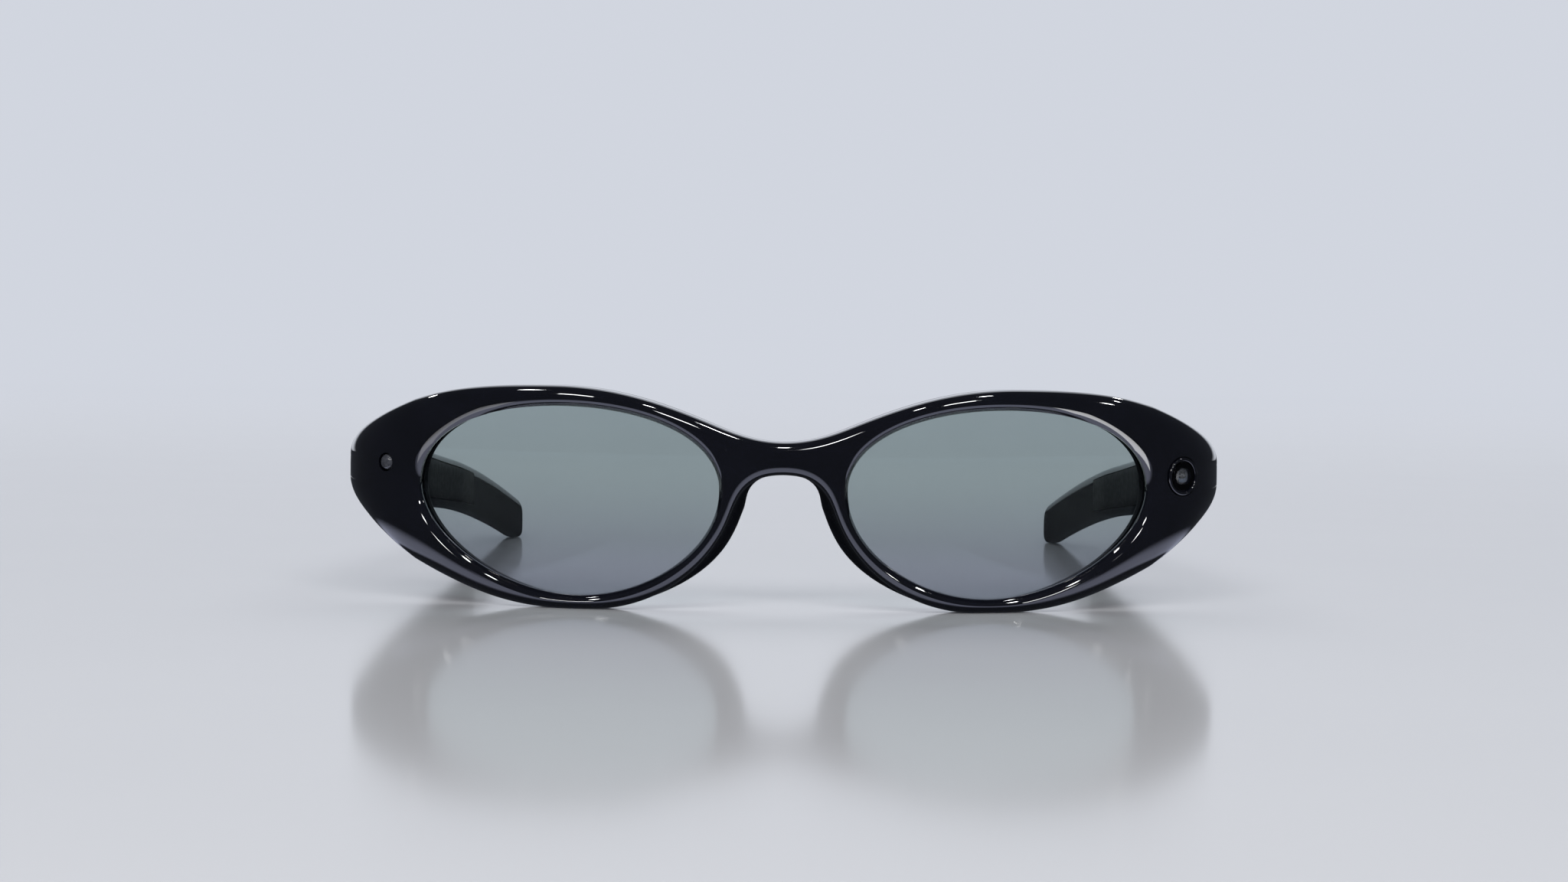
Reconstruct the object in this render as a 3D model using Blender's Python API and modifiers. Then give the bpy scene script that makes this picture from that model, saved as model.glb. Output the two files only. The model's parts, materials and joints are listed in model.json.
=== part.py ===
"""Smart glasses: a glossy two-shell front with tinted lenses, a camera and a recording light, and two
folding temples that hold the electronics.

Metres, +Z up. The glasses stand open on a table, with the front facing -Y. Left and right are the
wearer's, so left is +X. Pieces are modelled with y = 0 at the bridge, and one empty then moves the
whole object so that its origin is on the table under its middle.
"""

import math

import bmesh
import bpy
import numpy as np
from mathutils import Matrix, Vector
from mathutils.geometry import interpolate_bezier

mm = 0.001
SIDES = ((1, "left"), (-1, "right"))

# Plan curve of the front, seen from above
FRONT_WIDTH = 150 * mm
BASE_RADIUS = 180 * mm
CORNER_RADIUS = 18 * mm
TEMPLE_BOW_RADIUS = 560 * mm
BUTT_ANGLE = math.radians(86)
CROWN_RADIUS = 170 * mm
CROWN_HEIGHT = 22 * mm

# Lens openings and the rims round them
LENS_GAP = 21.4 * mm
LENS_WIDTH = 52.2 * mm
LENS_HEIGHT = 31.5 * mm
LENS_FULLNESS = (0.59, 0.61, 0.48, 0.53)
LENS_THICKNESS = 1.8 * mm
LENS_OVERLAP = 0.6 * mm
RIM_ABOVE = 3.0 * mm
RIM_BELOW = 2.3 * mm
REST_FLAT = 4.0 * mm
END_TOP_REACH = 3.1 * mm
END_TOP_DROP = 0.6 * mm
END_LOW_INSET = 0.9 * mm
END_LOW_RISE = 3.6 * mm
JOINT_RUN = 1.5 * mm
TAIL_LENGTH = 9.0 * mm
RIM_DEPTH = 5.6 * mm
END_DEPTH = 8.0 * mm
SHELL_SPLIT = 4.0 * mm
FUNNEL_WIDTH = 1.2 * mm
FUNNEL_FLARE = 0.9 * mm
FUNNEL_DEPTH = 1.3 * mm
LIP_DEPTH = 1.9 * mm
REAR_OPENING = 0.3 * mm
RIM_ROUND = 1.7 * mm
END_ROUND = 6.5 * mm
END_ROUND_DEPTH = 3.4 * mm
BACK_ROUND = 1.0 * mm

# Bridge and nose
BRIDGE_UNDERSIDE = 22.9 * mm
BRIDGE_HEIGHT = 5.4 * mm
BROW_RISE = 2.4 * mm
ARCH_DROP = 1.5 * mm
NOSE_RIM = 0.7 * mm
NOSE_RISE = 11.2 * mm
PAD_HEIGHT = 5.0 * mm
PAD_FLARE = 1.5 * mm
PAD_ROUND = 1.3 * mm

# Camera in the left end piece, recording light in the right one, each at a share of the way from
# the lens opening to the joint face
CAMERA_ALONG = 0.295
CAMERA_TILT = math.radians(36)
CAMERA_HEIGHT = 22.7 * mm
BEZEL_RADIUS = 3.2 * mm
BEZEL_DEPTH = 1.5 * mm
BEZEL_PROUD = 0.2 * mm
WINDOW_RADIUS = 2.4 * mm
BARREL_RADIUS = 1.5 * mm
BARREL_LENGTH = 1.8 * mm
SENSOR_WIDTH = 4.2 * mm
SENSOR_THICKNESS = 1.0 * mm
SENSOR_SHIFT = 0.3 * mm
SENSOR_ROOM = 0.8 * mm
LIGHT_ALONG = 0.28
LIGHT_HEIGHT = 23.7 * mm
LIGHT_RADIUS = 1.35 * mm
LIGHT_FLANGE = 0.6 * mm
LIGHT_BOARD_WIDTH = 4.4 * mm
LIGHT_BOARD_THICKNESS = 1.0 * mm

# Ribbon over the brow and charging pins behind the bridge
RIBBON_INSET = 1.1 * mm
RIBBON_WIDTH = 0.8 * mm
RIBBON_THICKNESS = 0.25 * mm
RIBBON_END_REACH = 3.4 * mm
RIBBON_END_RISE = 3.2 * mm
RIBBON_END_DROP = 1.5 * mm
PIN_SPACING = 5.2 * mm
PIN_RADIUS = 0.85 * mm
PIN_PROUD = 0.15 * mm

# Temples
ROOT_HEIGHT = 22.6 * mm
ROOT_HALF = 6.0 * mm
TIP_HALF = 4.0 * mm
TIP_DEPTH = 4.6 * mm
TIP_ROUND = 6.0 * mm
TEMPLE_LENGTH = 134 * mm
OUTER_FULLNESS = 2.6
INNER_FULLNESS = 4.5
TEMPLE_SLOPE = 0.105
EAR_START = 75 * mm
SHELL_WALL = 1.4 * mm
COVER_LEDGE = 0.5 * mm
COVER_THICKNESS = 1.2 * mm
BAY_START = 6.0 * mm
BAY_END = 90 * mm

# Hinges
BUTT_GAP = 0.3 * mm
KNUCKLE_RADIUS = 1.5 * mm
KNUCKLE_COUNT = 5
KNUCKLE_PITCH = 1.8 * mm
KNUCKLE_PLAY = 0.12 * mm
SCREW_RADIUS = 0.7 * mm
SCREW_PLAY = 0.1 * mm
SCREW_HEAD_RADIUS = 1.3 * mm
SCREW_HEAD_HEIGHT = 0.6 * mm
LEAF_THICKNESS = 1.0 * mm
LEAF_WIDTH = 3.2 * mm
CABLE_WIDTH = 3.0 * mm
CABLE_THICKNESS = 0.3 * mm
CABLE_GAP = 0.55 * mm
CABLE_TAIL = 3.0 * mm

# What the temples hold
BATTERY_LENGTH = 38 * mm
BATTERY_START = 28 * mm
BOARD_LENGTH = 38 * mm
BOARD_START = 28 * mm
BOARD_THICKNESS = 0.8 * mm
SHIELD_LENGTH = 16 * mm
SHIELD_THICKNESS = 1.2 * mm
SPEAKER_LENGTH = 15 * mm
SPEAKER_START = 71 * mm
SPEAKER_THICKNESS = 2.6 * mm
MESH_THICKNESS = 0.4 * mm
SLOT_COUNT = 5
SLOT_PITCH = 2.2 * mm
SLOT_WIDTH = 1.0 * mm
TOUCH_LENGTH = 34 * mm
TOUCH_THICKNESS = 0.3 * mm
BUTTON_START = 15 * mm
BUTTON_LENGTH = 11 * mm
BUTTON_WIDTH = 2.6 * mm
BUTTON_PROUD = 0.7 * mm
BUTTON_TRAVEL = 0.5 * mm
BUTTON_PLAY = 0.15 * mm
BUTTON_FLANGE = 0.7 * mm
SLIDER_START = 11 * mm
SLIDER_LENGTH = 4.0 * mm
SLIDER_WIDTH = 2.2 * mm
SLIDER_TRAVEL = 2.0 * mm
SLIDER_PROUD = 0.5 * mm
SLIDER_PLAY = 0.2 * mm
SLIDER_FLANGE = 0.7 * mm

FIT = 0.2 * mm
SEAM = 0.1 * mm

# Plan curve worked out from the sizes above
CORNER_ANGLE = math.asin((FRONT_WIDTH / 2 - CORNER_RADIUS) / (BASE_RADIUS - CORNER_RADIUS))
CORNER_START = BASE_RADIUS * CORNER_ANGLE
CORNER_LENGTH = CORNER_RADIUS * (math.pi / 2 - CORNER_ANGLE)
PLAN_ARCS = ((BASE_RADIUS, CORNER_START), (CORNER_RADIUS, CORNER_LENGTH), (TEMPLE_BOW_RADIUS, math.inf))
BUTT_START = CORNER_START + CORNER_RADIUS * (BUTT_ANGLE - CORNER_ANGLE)

# Lens opening and outline worked out from the sizes above
LENS_IN = LENS_GAP / 2
LENS_OUT = LENS_IN + LENS_WIDTH
LENS_TOP = RIM_BELOW + LENS_HEIGHT
TAIL = BUTT_START + TAIL_LENGTH
ARCH_CORNER = 0.52 * LENS_IN
CAMERA_U = LENS_OUT + CAMERA_ALONG * (BUTT_START - LENS_OUT)
LIGHT_U = LENS_OUT + LIGHT_ALONG * (BUTT_START - LENS_OUT)


def plan(u):
    """x, y and heading at distance u from the bridge along the plan curve of tangent arcs."""
    u = np.asarray(u, float)
    x, y, heading = np.zeros_like(u), np.zeros_like(u), np.zeros_like(u)
    start = 0.0
    for radius, length in PLAN_ARCS:
        turned = heading + np.clip(u - start, 0, length) / radius
        x = x + radius * (np.sin(turned) - np.sin(heading))
        y = y + radius * (np.cos(heading) - np.cos(turned))
        heading = turned
        start += length
    return x, y, heading


def wrap(u, z, n, side=1):
    """Point at distance u along the plan curve and height z, pushed n outwards from the curve."""
    x, y, heading = plan(u)
    z = np.broadcast_to(z, x.shape)
    return np.stack([side * (x + n * np.sin(heading)), y - n * np.cos(heading), z], -1)


def crowned(u, z, n):
    """The same, on the front face, which is crowned from top to bottom."""
    return wrap(u, z, n - (z - CROWN_HEIGHT) ** 2 / (2 * CROWN_RADIUS))


def smooth(value, low, high):
    """0 below low, 1 above high, and an S-shaped rise between."""
    t = np.clip((value - low) / (high - low), 0, 1)
    return t * t * (3 - 2 * t)


# Scene, materials and simple shapes

def clear_scene():
    for obj in list(bpy.data.objects):
        bpy.data.objects.remove(obj)


def collection(name):
    made = bpy.data.collections.new(name)
    bpy.context.scene.collection.children.link(made)
    return made


def material(name, colour, roughness, metallic=0.0, alpha=1.0):
    made = bpy.data.materials.new(name)
    made.use_nodes = True
    shader = made.node_tree.nodes["Principled BSDF"]
    shader.inputs["Base Color"].default_value = (*colour, 1)
    shader.inputs["Roughness"].default_value = roughness
    shader.inputs["Metallic"].default_value = metallic
    shader.inputs["Alpha"].default_value = alpha
    made.diffuse_color = (*colour, alpha)
    return made


def empty(name, place, parent=None):
    made = bpy.data.objects.new(name, None)
    PARTS.objects.link(made)
    made.parent = parent
    made.location = Vector(place) - (Vector(parent["place"]) if parent else Vector())
    made["place"] = tuple(place)
    return made


def solid(name, mesh, finish, parent):
    """A named piece, modelled in the glasses' frame, under the empty on its joint or at the bridge."""
    made = bpy.data.objects.new(name, mesh)
    PARTS.objects.link(made)
    made.parent = parent
    made.location = -Vector(parent["place"])
    made.data.materials.append(finish)
    made.data.shade_smooth()
    made.data.set_sharp_from_angle(angle=math.radians(35))
    return made


def helper(name, mesh, parent):
    """A shape that only cuts or joins others."""
    made = bpy.data.objects.new(name, mesh)
    CUTTERS.objects.link(made)
    made.parent = parent
    made.location = -Vector(parent["place"])
    made.hide_render = True
    made.display_type = "WIRE"
    return made


def boolean(obj, name, mesh, operation="DIFFERENCE"):
    """Cuts a mesh from the piece, or joins it on."""
    modifier = obj.modifiers.new(name, "BOOLEAN")
    modifier.operation = operation
    modifier.object = helper(f"{obj.name}_{name}", mesh, obj.parent)


def mesh_from(bm, name):
    """A mesh whose faces point outwards. A half that is open at the bridge has no volume missing there."""
    bmesh.ops.recalc_face_normals(bm, faces=bm.faces)
    if bm.calc_volume(signed=True) < 0:
        bmesh.ops.reverse_faces(bm, faces=bm.faces)
    mesh = bpy.data.meshes.new(name)
    bm.to_mesh(mesh)
    bm.free()
    return mesh


def loft(name, rings, keep=None):
    """Skin over closed rings of points, with end caps. keep picks its quads, and leaves the caps out."""
    bm = bmesh.new()
    rows = [[bm.verts.new(p) for p in ring] for ring in rings]
    count = len(rows[0])
    for i in range(len(rows) - 1):
        for j in range(count):
            if keep is None or keep[i, j]:
                k = (j + 1) % count
                bm.faces.new((rows[i][j], rows[i][k], rows[i + 1][k], rows[i + 1][j]))
    if keep is None:
        bm.faces.new(rows[0])
        bm.faces.new(rows[-1])
    bmesh.ops.delete(bm, geom=[v for v in bm.verts if not v.link_faces], context="VERTS")
    bmesh.ops.remove_doubles(bm, verts=bm.verts, dist=1e-7)
    return mesh_from(bm, name)


def block(name, size, frame, bevel=0.0):
    """A box with its centre and axes in frame, and bevelled edges if asked."""
    bm = bmesh.new()
    bmesh.ops.create_cube(bm, size=1)
    bmesh.ops.scale(bm, vec=size, verts=bm.verts)
    if bevel:
        bmesh.ops.bevel(bm, geom=bm.edges, offset=bevel, segments=2, profile=0.5, affect="EDGES")
    bmesh.ops.transform(bm, matrix=frame, verts=bm.verts)
    return mesh_from(bm, name)


def pill(name, length, width, height, frame):
    """A flat bar with round ends, along the frame's X and standing along its Z."""
    bm = bmesh.new()
    bmesh.ops.create_cube(bm, size=1)
    bmesh.ops.scale(bm, vec=(length, width, height), verts=bm.verts)
    upright = [e for e in bm.edges if abs(e.verts[0].co.z - e.verts[1].co.z) > height / 2]
    bmesh.ops.bevel(bm, geom=upright, offset=0.499 * width, segments=5, profile=0.5, affect="EDGES")
    bmesh.ops.transform(bm, matrix=frame, verts=bm.verts)
    return mesh_from(bm, name)


def rod(name, radius, low, high, frame, segments=24):
    """A cylinder along the frame's Z, from low to high."""
    bm = bmesh.new()
    at = Matrix.Translation((0, 0, (low + high) / 2))
    bmesh.ops.create_cone(
        bm, cap_ends=True, segments=segments, radius1=radius, radius2=radius, depth=high - low,
        matrix=frame @ at,
    )
    return mesh_from(bm, name)


def turned(name, profile, frame, finish, parent, steps=24):
    """A piece turned about the frame's Z. profile is (radius, height), down its outside from the top."""
    mesh = bpy.data.meshes.new(name)
    ring = profile[0] == profile[-1]
    points = [(r, 0, h) for r, h in (profile[:-1] if ring else profile)]
    mesh.from_pydata(points, [(i, (i + 1) % len(points)) for i in range(len(profile) - 1)], [])
    made = solid(name, mesh, finish, parent)
    made.matrix_basis = Matrix.Translation(made.location) @ frame
    screw = made.modifiers.new("turn", "SCREW")
    screw.steps = screw.render_steps = steps
    screw.use_merge_vertices = True
    screw.merge_threshold = 1e-6
    screw.use_smooth_shade = True
    return made


def axes(origin, along, across, up):
    """A frame from its origin and its X, Y and Z directions."""
    frame = Matrix.Identity(4)
    for column, direction in enumerate((along, across, up)):
        frame.col[column][:3] = Vector(direction).normalized()
    frame.translation = origin
    return frame


def corner_frame(u, height, side, tilt=0.0):
    """Frame on the corner's face: Y points up, and Z out of the face, turned forwards by tilt."""
    centre = crowned(u, height, 0.0) * (side, 1, 1)
    angle = float(plan(u)[2]) - tilt
    ahead = (side * math.sin(angle), -math.cos(angle), 0)
    return axes(centre, Vector((0, 0, 1)).cross(Vector(ahead)), (0, 0, 1), ahead)


# Lens opening and outline of one half of the front

def opening(stations):
    """Points of the lens opening: a cubic a quarter, from station 0, nasal, by top, outer and bottom."""
    corners = np.array([
        (LENS_IN, RIM_BELOW + 0.57 * LENS_HEIGHT),
        (LENS_IN + 0.52 * LENS_WIDTH, LENS_TOP),
        (LENS_OUT, RIM_BELOW + 0.58 * LENS_HEIGHT),
        (LENS_IN + 0.465 * LENS_WIDTH, RIM_BELOW),
    ])
    stations = np.asarray(stations) % 4
    quarter = stations.astype(int)
    t = (stations - quarter)[:, None]
    first, last = corners[quarter], corners[(quarter + 1) % 4]
    full = np.array(LENS_FULLNESS)[quarter][:, None]
    upright = (quarter % 2 == 0)[:, None]
    reach = full * (last - first)
    leave = first + np.where(upright, reach * (0, 1), reach * (1, 0))
    arrive = last - np.where(upright, reach * (1, 0), reach * (0, 1))
    return (1 - t) ** 3 * first + 3 * t * (1 - t) ** 2 * leave + 3 * t**2 * (1 - t) * arrive + t**3 * last


def opening_out(stations):
    """Unit directions out of the lens opening at these stations."""
    step = 1e-4
    run = opening(stations + step) - opening(stations - step)
    return np.stack([-run[:, 1], run[:, 0]], -1) / np.linalg.norm(run, axis=1)[:, None]


# Outline anchors: distance along the wrap, height and heading in degrees
OUTLINE = (
    (0, BRIDGE_UNDERSIDE + BRIDGE_HEIGHT, 0),
    (1.08 * LENS_IN, BRIDGE_UNDERSIDE + BRIDGE_HEIGHT + BROW_RISE, 22),
    (LENS_IN + 0.55 * LENS_WIDTH, LENS_TOP + RIM_ABOVE, 0),
    (LENS_OUT + END_TOP_REACH, LENS_TOP - END_TOP_DROP, -15),
    (BUTT_START + JOINT_RUN, ROOT_HEIGHT + ROOT_HALF, -8),
    (TAIL, ROOT_HEIGHT + 0.5 * ROOT_HALF, -20),
    (TAIL, ROOT_HEIGHT - 0.5 * ROOT_HALF, 200),
    (BUTT_START + JOINT_RUN, ROOT_HEIGHT - ROOT_HALF, 190),
    (LENS_OUT - END_LOW_INSET, RIM_BELOW + END_LOW_RISE, 205),
    (LENS_IN + 0.465 * LENS_WIDTH + REST_FLAT / 2, 0, 180),
    (LENS_IN + 0.465 * LENS_WIDTH - REST_FLAT / 2, 0, 180),
    (LENS_IN - NOSE_RIM, RIM_BELOW + NOSE_RISE, 118),
    (ARCH_CORNER, BRIDGE_UNDERSIDE - ARCH_DROP, 143),
    (0, BRIDGE_UNDERSIDE, 180),
)
STRETCHES = (4, 6, 6, 5, 1, 2, 1, 5, 6, 1, 7, 4, 3)
HANDLE = 0.36
BRIDGE_SHARES = (0.42, 0.58)


def outline():
    """Outline points, their outward directions, and which points lie across the bridge's middle."""
    points = []
    for (u, z, heading), following, count in zip(OUTLINE, OUTLINE[1:], STRETCHES):
        first, last = Vector((u, z)), Vector(following[:2])
        reach = HANDLE * (last - first).length
        headings = np.radians((heading, following[2]))
        leave, arrive = (reach * Vector((math.cos(a), math.sin(a))) for a in headings)
        if following[0] == u == TAIL:
            leave = arrive = (last - first) / 3
        run = interpolate_bezier(first, first + leave, last - arrive, last, count + 1)
        points += [p[:2] for p in run[:-1]]
    low, top = OUTLINE[-1][1], OUTLINE[0][1]
    points += [(0, low + (top - low) * share) for share in (0, *BRIDGE_SHARES)]
    points = np.array(points)
    middle = np.zeros(len(points), bool)
    middle[-len(BRIDGE_SHARES):] = True
    run = np.gradient(points[~middle], axis=0)
    out = np.zeros_like(points)
    out[~middle] = np.stack([-run[:, 1], run[:, 0]], -1) / np.linalg.norm(run, axis=1)[:, None]
    out[0], out[len(run) - 1] = (0, 1), (0, -1)
    return points, out, middle


def nearest_stations(points):
    """Stations of the lens opening nearest to these points, lifted at the bridge to clear its arch."""
    fine = np.linspace(0, 4, 6000, endpoint=False)
    lift = 0.34 * np.clip(LENS_IN - points[:, 0], 0, None)
    gaps = (points + np.stack([0 * lift, lift], -1))[:, None] - opening(fine)[None]
    nearest = np.unwrap(fine[(gaps**2).sum(-1).argmin(1)], period=4)
    least = 0.02 * np.arange(len(points))
    return np.maximum.accumulate(nearest - least) + least


def end_share(u):
    """0 on the rims, and 1 on the end pieces."""
    return smooth(u, LENS_OUT - 4 * mm, LENS_OUT + 6 * mm)


def depth_at(u):
    return RIM_DEPTH + (END_DEPTH - RIM_DEPTH) * end_share(u)


class Rim:
    """Stations round one half of the front, with points measured from its lens opening or its outline."""

    def __init__(self):
        self.edge, self.out, self.middle = outline()
        self.stations = nearest_stations(self.edge)
        self.hole, self.hole_out = opening(self.stations), opening_out(self.stations)
        width = np.linalg.norm(self.edge - self.hole, axis=1)
        upper_outer = np.exp(-(((self.stations % 4 - 1.55) / 0.35) ** 2))
        self.funnel = np.minimum(FUNNEL_WIDTH + FUNNEL_FLARE * upper_outer, 0.45 * width)
        share = end_share(self.edge[:, 0])
        self.round = np.minimum(RIM_ROUND + (END_ROUND - RIM_ROUND) * share, 0.85 * (width - self.funnel))
        limit = np.clip(0.72 * np.abs(self.edge[:, 1] - ROOT_HEIGHT), RIM_ROUND, END_ROUND)
        self.round = np.where(self.edge[:, 0] > LENS_OUT, np.minimum(self.round, limit), self.round)
        self.round_depth = np.minimum(self.round, END_ROUND_DEPTH)

    def from_hole(self, offset):
        return self.hole + self.hole_out * np.reshape(offset, (-1, 1))

    def from_edge(self, offset):
        return self.edge + self.out * np.reshape(offset, (-1, 1))

    def across(self, first, last, share):
        """A line of points between two others, kept on the wrap."""
        return first + (last - first) * share


def rim_mesh(name, rim, lines, outer):
    """Half of a front shell. lines are (points, depth) round its section, and outer its outer ones."""
    rings = np.stack([crowned(p[:, 0], p[:, 1], np.broadcast_to(n, len(p))) for p, n in lines], 1)
    rings = np.concatenate([rings, rings[:1]])
    at_middle = np.append(rim.middle, False)
    keep = np.ones(rings.shape[:2], bool)
    for i in range(len(rings) - 1):
        if at_middle[i] or at_middle[i + 1]:
            keep[i, outer] = False
    mesh = loft(name, rings, keep)
    bm = bmesh.new()
    bm.from_mesh(mesh)
    bmesh.ops.triangulate(bm, faces=bm.faces, quad_method="SHORT_EDGE")
    bm.to_mesh(mesh)
    bm.free()
    return mesh


def mirrored(obj):
    """The other half, joined at the bridge."""
    mirror = obj.modifiers.new("mirror", "MIRROR")
    mirror.merge_threshold = 1e-6


FACE_SHARES = (0.33, 0.67)


def front_frame(rim):
    """Front shell: lens seat, funnel round each lens, face and rounded outer edge."""
    seat = rim.from_hole(LENS_OVERLAP + FIT)
    inner, outer = rim.from_hole(rim.funnel), rim.from_edge(-rim.round)
    lines = [
        (seat, -SHELL_SPLIT),
        (seat, -LIP_DEPTH),
        (rim.from_hole(0), -LIP_DEPTH),
        (rim.from_hole(0), -FUNNEL_DEPTH),
        (inner, 0.0),
    ]
    lines += [(rim.across(inner, outer, share), 0.0) for share in FACE_SHARES]
    first_outer = len(lines)
    for angle in np.radians((0, 45, 90)):
        inset, drop = 1 - math.sin(angle), 1 - math.cos(angle)
        lines.append((rim.from_edge(-rim.round * inset), -rim.round_depth * drop))
    lines.append((rim.edge, -SHELL_SPLIT))
    last_outer = len(lines) - 1
    lines += [(rim.across(seat, rim.edge, share), -SHELL_SPLIT) for share in reversed(FACE_SHARES)]
    mesh = rim_mesh("front_frame", rim, lines, slice(first_outer, last_outer))
    made = solid("front_frame", mesh, FINISH["gloss_black"], BRIDGE)
    mirrored(made)
    return made


def pad_share(rim):
    """1 in the middle of the moulded nose pad, and 0 away from it."""
    along = (rim.stations + 2) % 4 - 2
    return smooth(along, -0.75, -0.25) * (1 - smooth(along, -0.07, 0.14)) * ~rim.middle


def rear_frame(rim):
    """Rear shell: holds the lenses in, and carries the nose pads and the hinges."""
    front, pad = SHELL_SPLIT + SEAM, pad_share(rim)
    depth = depth_at(rim.edge[:, 0])
    flare, rise = PAD_FLARE * pad, PAD_HEIGHT * pad
    hole, edge = rim.from_hole(REAR_OPENING), rim.edge
    back_round = BACK_ROUND + (PAD_ROUND - BACK_ROUND) * pad
    back_out = rim.from_edge(flare - back_round)
    back_in = rim.from_hole(REAR_OPENING + 0.5 * mm)
    in_depth = depth_at(back_in[:, 0])
    seat = rim.from_hole(LENS_OVERLAP + FIT)
    lines = [(hole, -front), (seat, -front)]
    lines += [(rim.across(seat, edge, share), -front) for share in FACE_SHARES]
    first_outer = len(lines)
    lines += [
        (edge, -front),
        (rim.from_edge(flare), back_round - depth - rise),
        (back_out, -depth - rise),
    ]
    last_outer = len(lines) - 1
    for share in FACE_SHARES:
        between = rim.across(back_out, back_in, share)
        lines.append((between, -depth_at(between[:, 0]) - rise * (1 - share) ** 1.5))
    lines += [(back_in, -in_depth), (hole, 0.5 * mm - in_depth)]
    mesh = rim_mesh("rear_frame", rim, lines, slice(first_outer, last_outer))
    made = solid("rear_frame", mesh, FINISH["gloss_black"], BRIDGE)
    mirrored(made)
    return made


LENS_STATIONS = np.linspace(0, 4, 40, endpoint=False)


def lens(side, name):
    """Tinted lens: a crowned shell, held all round between the two front shells."""
    hole = opening(LENS_STATIONS) + opening_out(LENS_STATIONS) * LENS_OVERLAP
    centre = hole.mean(0)
    front = -(LIP_DEPTH + SHELL_SPLIT - LENS_THICKNESS) / 2
    shares = (0.02, 0.5, 1.0)
    layers = [(s, front) for s in shares] + [(s, front - LENS_THICKNESS) for s in reversed(shares)]
    rings = []
    for share, n in layers:
        p = centre + (hole - centre) * share
        rings.append(crowned(p[:, 0], p[:, 1], n) * (side, 1, 1))
    solid(f"{name}_lens", loft(f"{name}_lens", rings), FINISH["lens_tint"], BRIDGE)


def cut_joint_face(obj):
    """Cuts the end pieces square where the temples butt against them."""
    size = FRONT_WIDTH
    for side, name in SIDES:
        frame = Matrix.Translation((side * size / 2, BUTT_Y + size / 2, ROOT_HEIGHT))
        boolean(obj, f"{name}_joint_face", block("face", (0.98 * size, size, size), frame))


# Camera and recording light

def barrel_span():
    """Heights of the barrel's front and back along the camera's view, from the middle of its face."""
    reach = BARREL_RADIUS * math.sin(CAMERA_TILT) + BEZEL_DEPTH
    start = -reach / math.cos(CAMERA_TILT) - 2 * FIT
    return start, start - BARREL_LENGTH


def sensor_back():
    """y of the hindmost corner of the camera's sensor."""
    frame = corner_frame(CAMERA_U, CAMERA_HEIGHT, 1, CAMERA_TILT)
    low = barrel_span()[1] - FIT - SENSOR_THICKNESS
    ends = (-SENSOR_SHIFT - SENSOR_WIDTH / 2, -SENSOR_SHIFT + SENSOR_WIDTH / 2)
    return max((frame @ Vector((x, 0, low))).y for x in ends)


def camera(front, rear):
    """Camera in the left end piece: bezel and window lie in the face, and the barrel looks ahead."""
    face, ahead = (corner_frame(CAMERA_U, CAMERA_HEIGHT, 1, tilt) for tilt in (0, CAMERA_TILT))
    ledge = BEZEL_DEPTH - 0.5 * mm
    hole = WINDOW_RADIUS - 0.4 * mm
    rebate = WINDOW_RADIUS + FIT
    turned("camera_bezel", [
        (rebate, 0.0), (rebate + 0.15 * mm, BEZEL_PROUD), (BEZEL_RADIUS - 0.2 * mm, BEZEL_PROUD),
        (BEZEL_RADIUS, 0.0), (BEZEL_RADIUS, -BEZEL_DEPTH), (hole, -BEZEL_DEPTH), (hole, -ledge),
        (rebate, -ledge), (rebate, 0.0),
    ], face, FINISH["gloss_black"], BRIDGE)
    turned("camera_window", [
        (0, 0.0), (WINDOW_RADIUS, 0.0), (WINDOW_RADIUS, FIT - ledge), (0, FIT - ledge),
    ], face, FINISH["camera_glass"], BRIDGE)
    boolean(front, "bezel_seat", rod("seat", BEZEL_RADIUS + FIT, -BEZEL_DEPTH - FIT, 4 * mm, face))
    start, back = barrel_span()
    eye = 0.75 * BARREL_RADIUS
    turned("camera_barrel", [
        (0, start + 0.35 * mm), (0.6 * eye, start + 0.25 * mm), (eye, start), (BARREL_RADIUS, start),
        (BARREL_RADIUS, back), (0, back),
    ], ahead, FINISH["camera_glass"], BRIDGE)
    boolean(front, "camera_bore", rod("bore", BARREL_RADIUS + FIT, back - FIT, -BEZEL_DEPTH, ahead))
    inset = Matrix.Translation((-SENSOR_SHIFT, 0, back - FIT - SENSOR_THICKNESS / 2))
    size = Vector((SENSOR_WIDTH, SENSOR_WIDTH, SENSOR_THICKNESS))
    board = block("camera_sensor", size, ahead @ inset)
    solid("camera_sensor", board, FINISH["circuit_board"], BRIDGE)
    room = size + Vector((2 * FIT, 2 * FIT, 2 * FIT + SENSOR_ROOM))
    deeper = Matrix.Translation((0, 0, -SENSOR_ROOM / 2))
    for shell in (front, rear):
        boolean(shell, "camera_pocket", block("pocket", room, ahead @ inset @ deeper))
    boolean(rear, "camera_bore", rod("bore", BARREL_RADIUS + FIT, back - FIT, -BEZEL_DEPTH, ahead))


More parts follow.
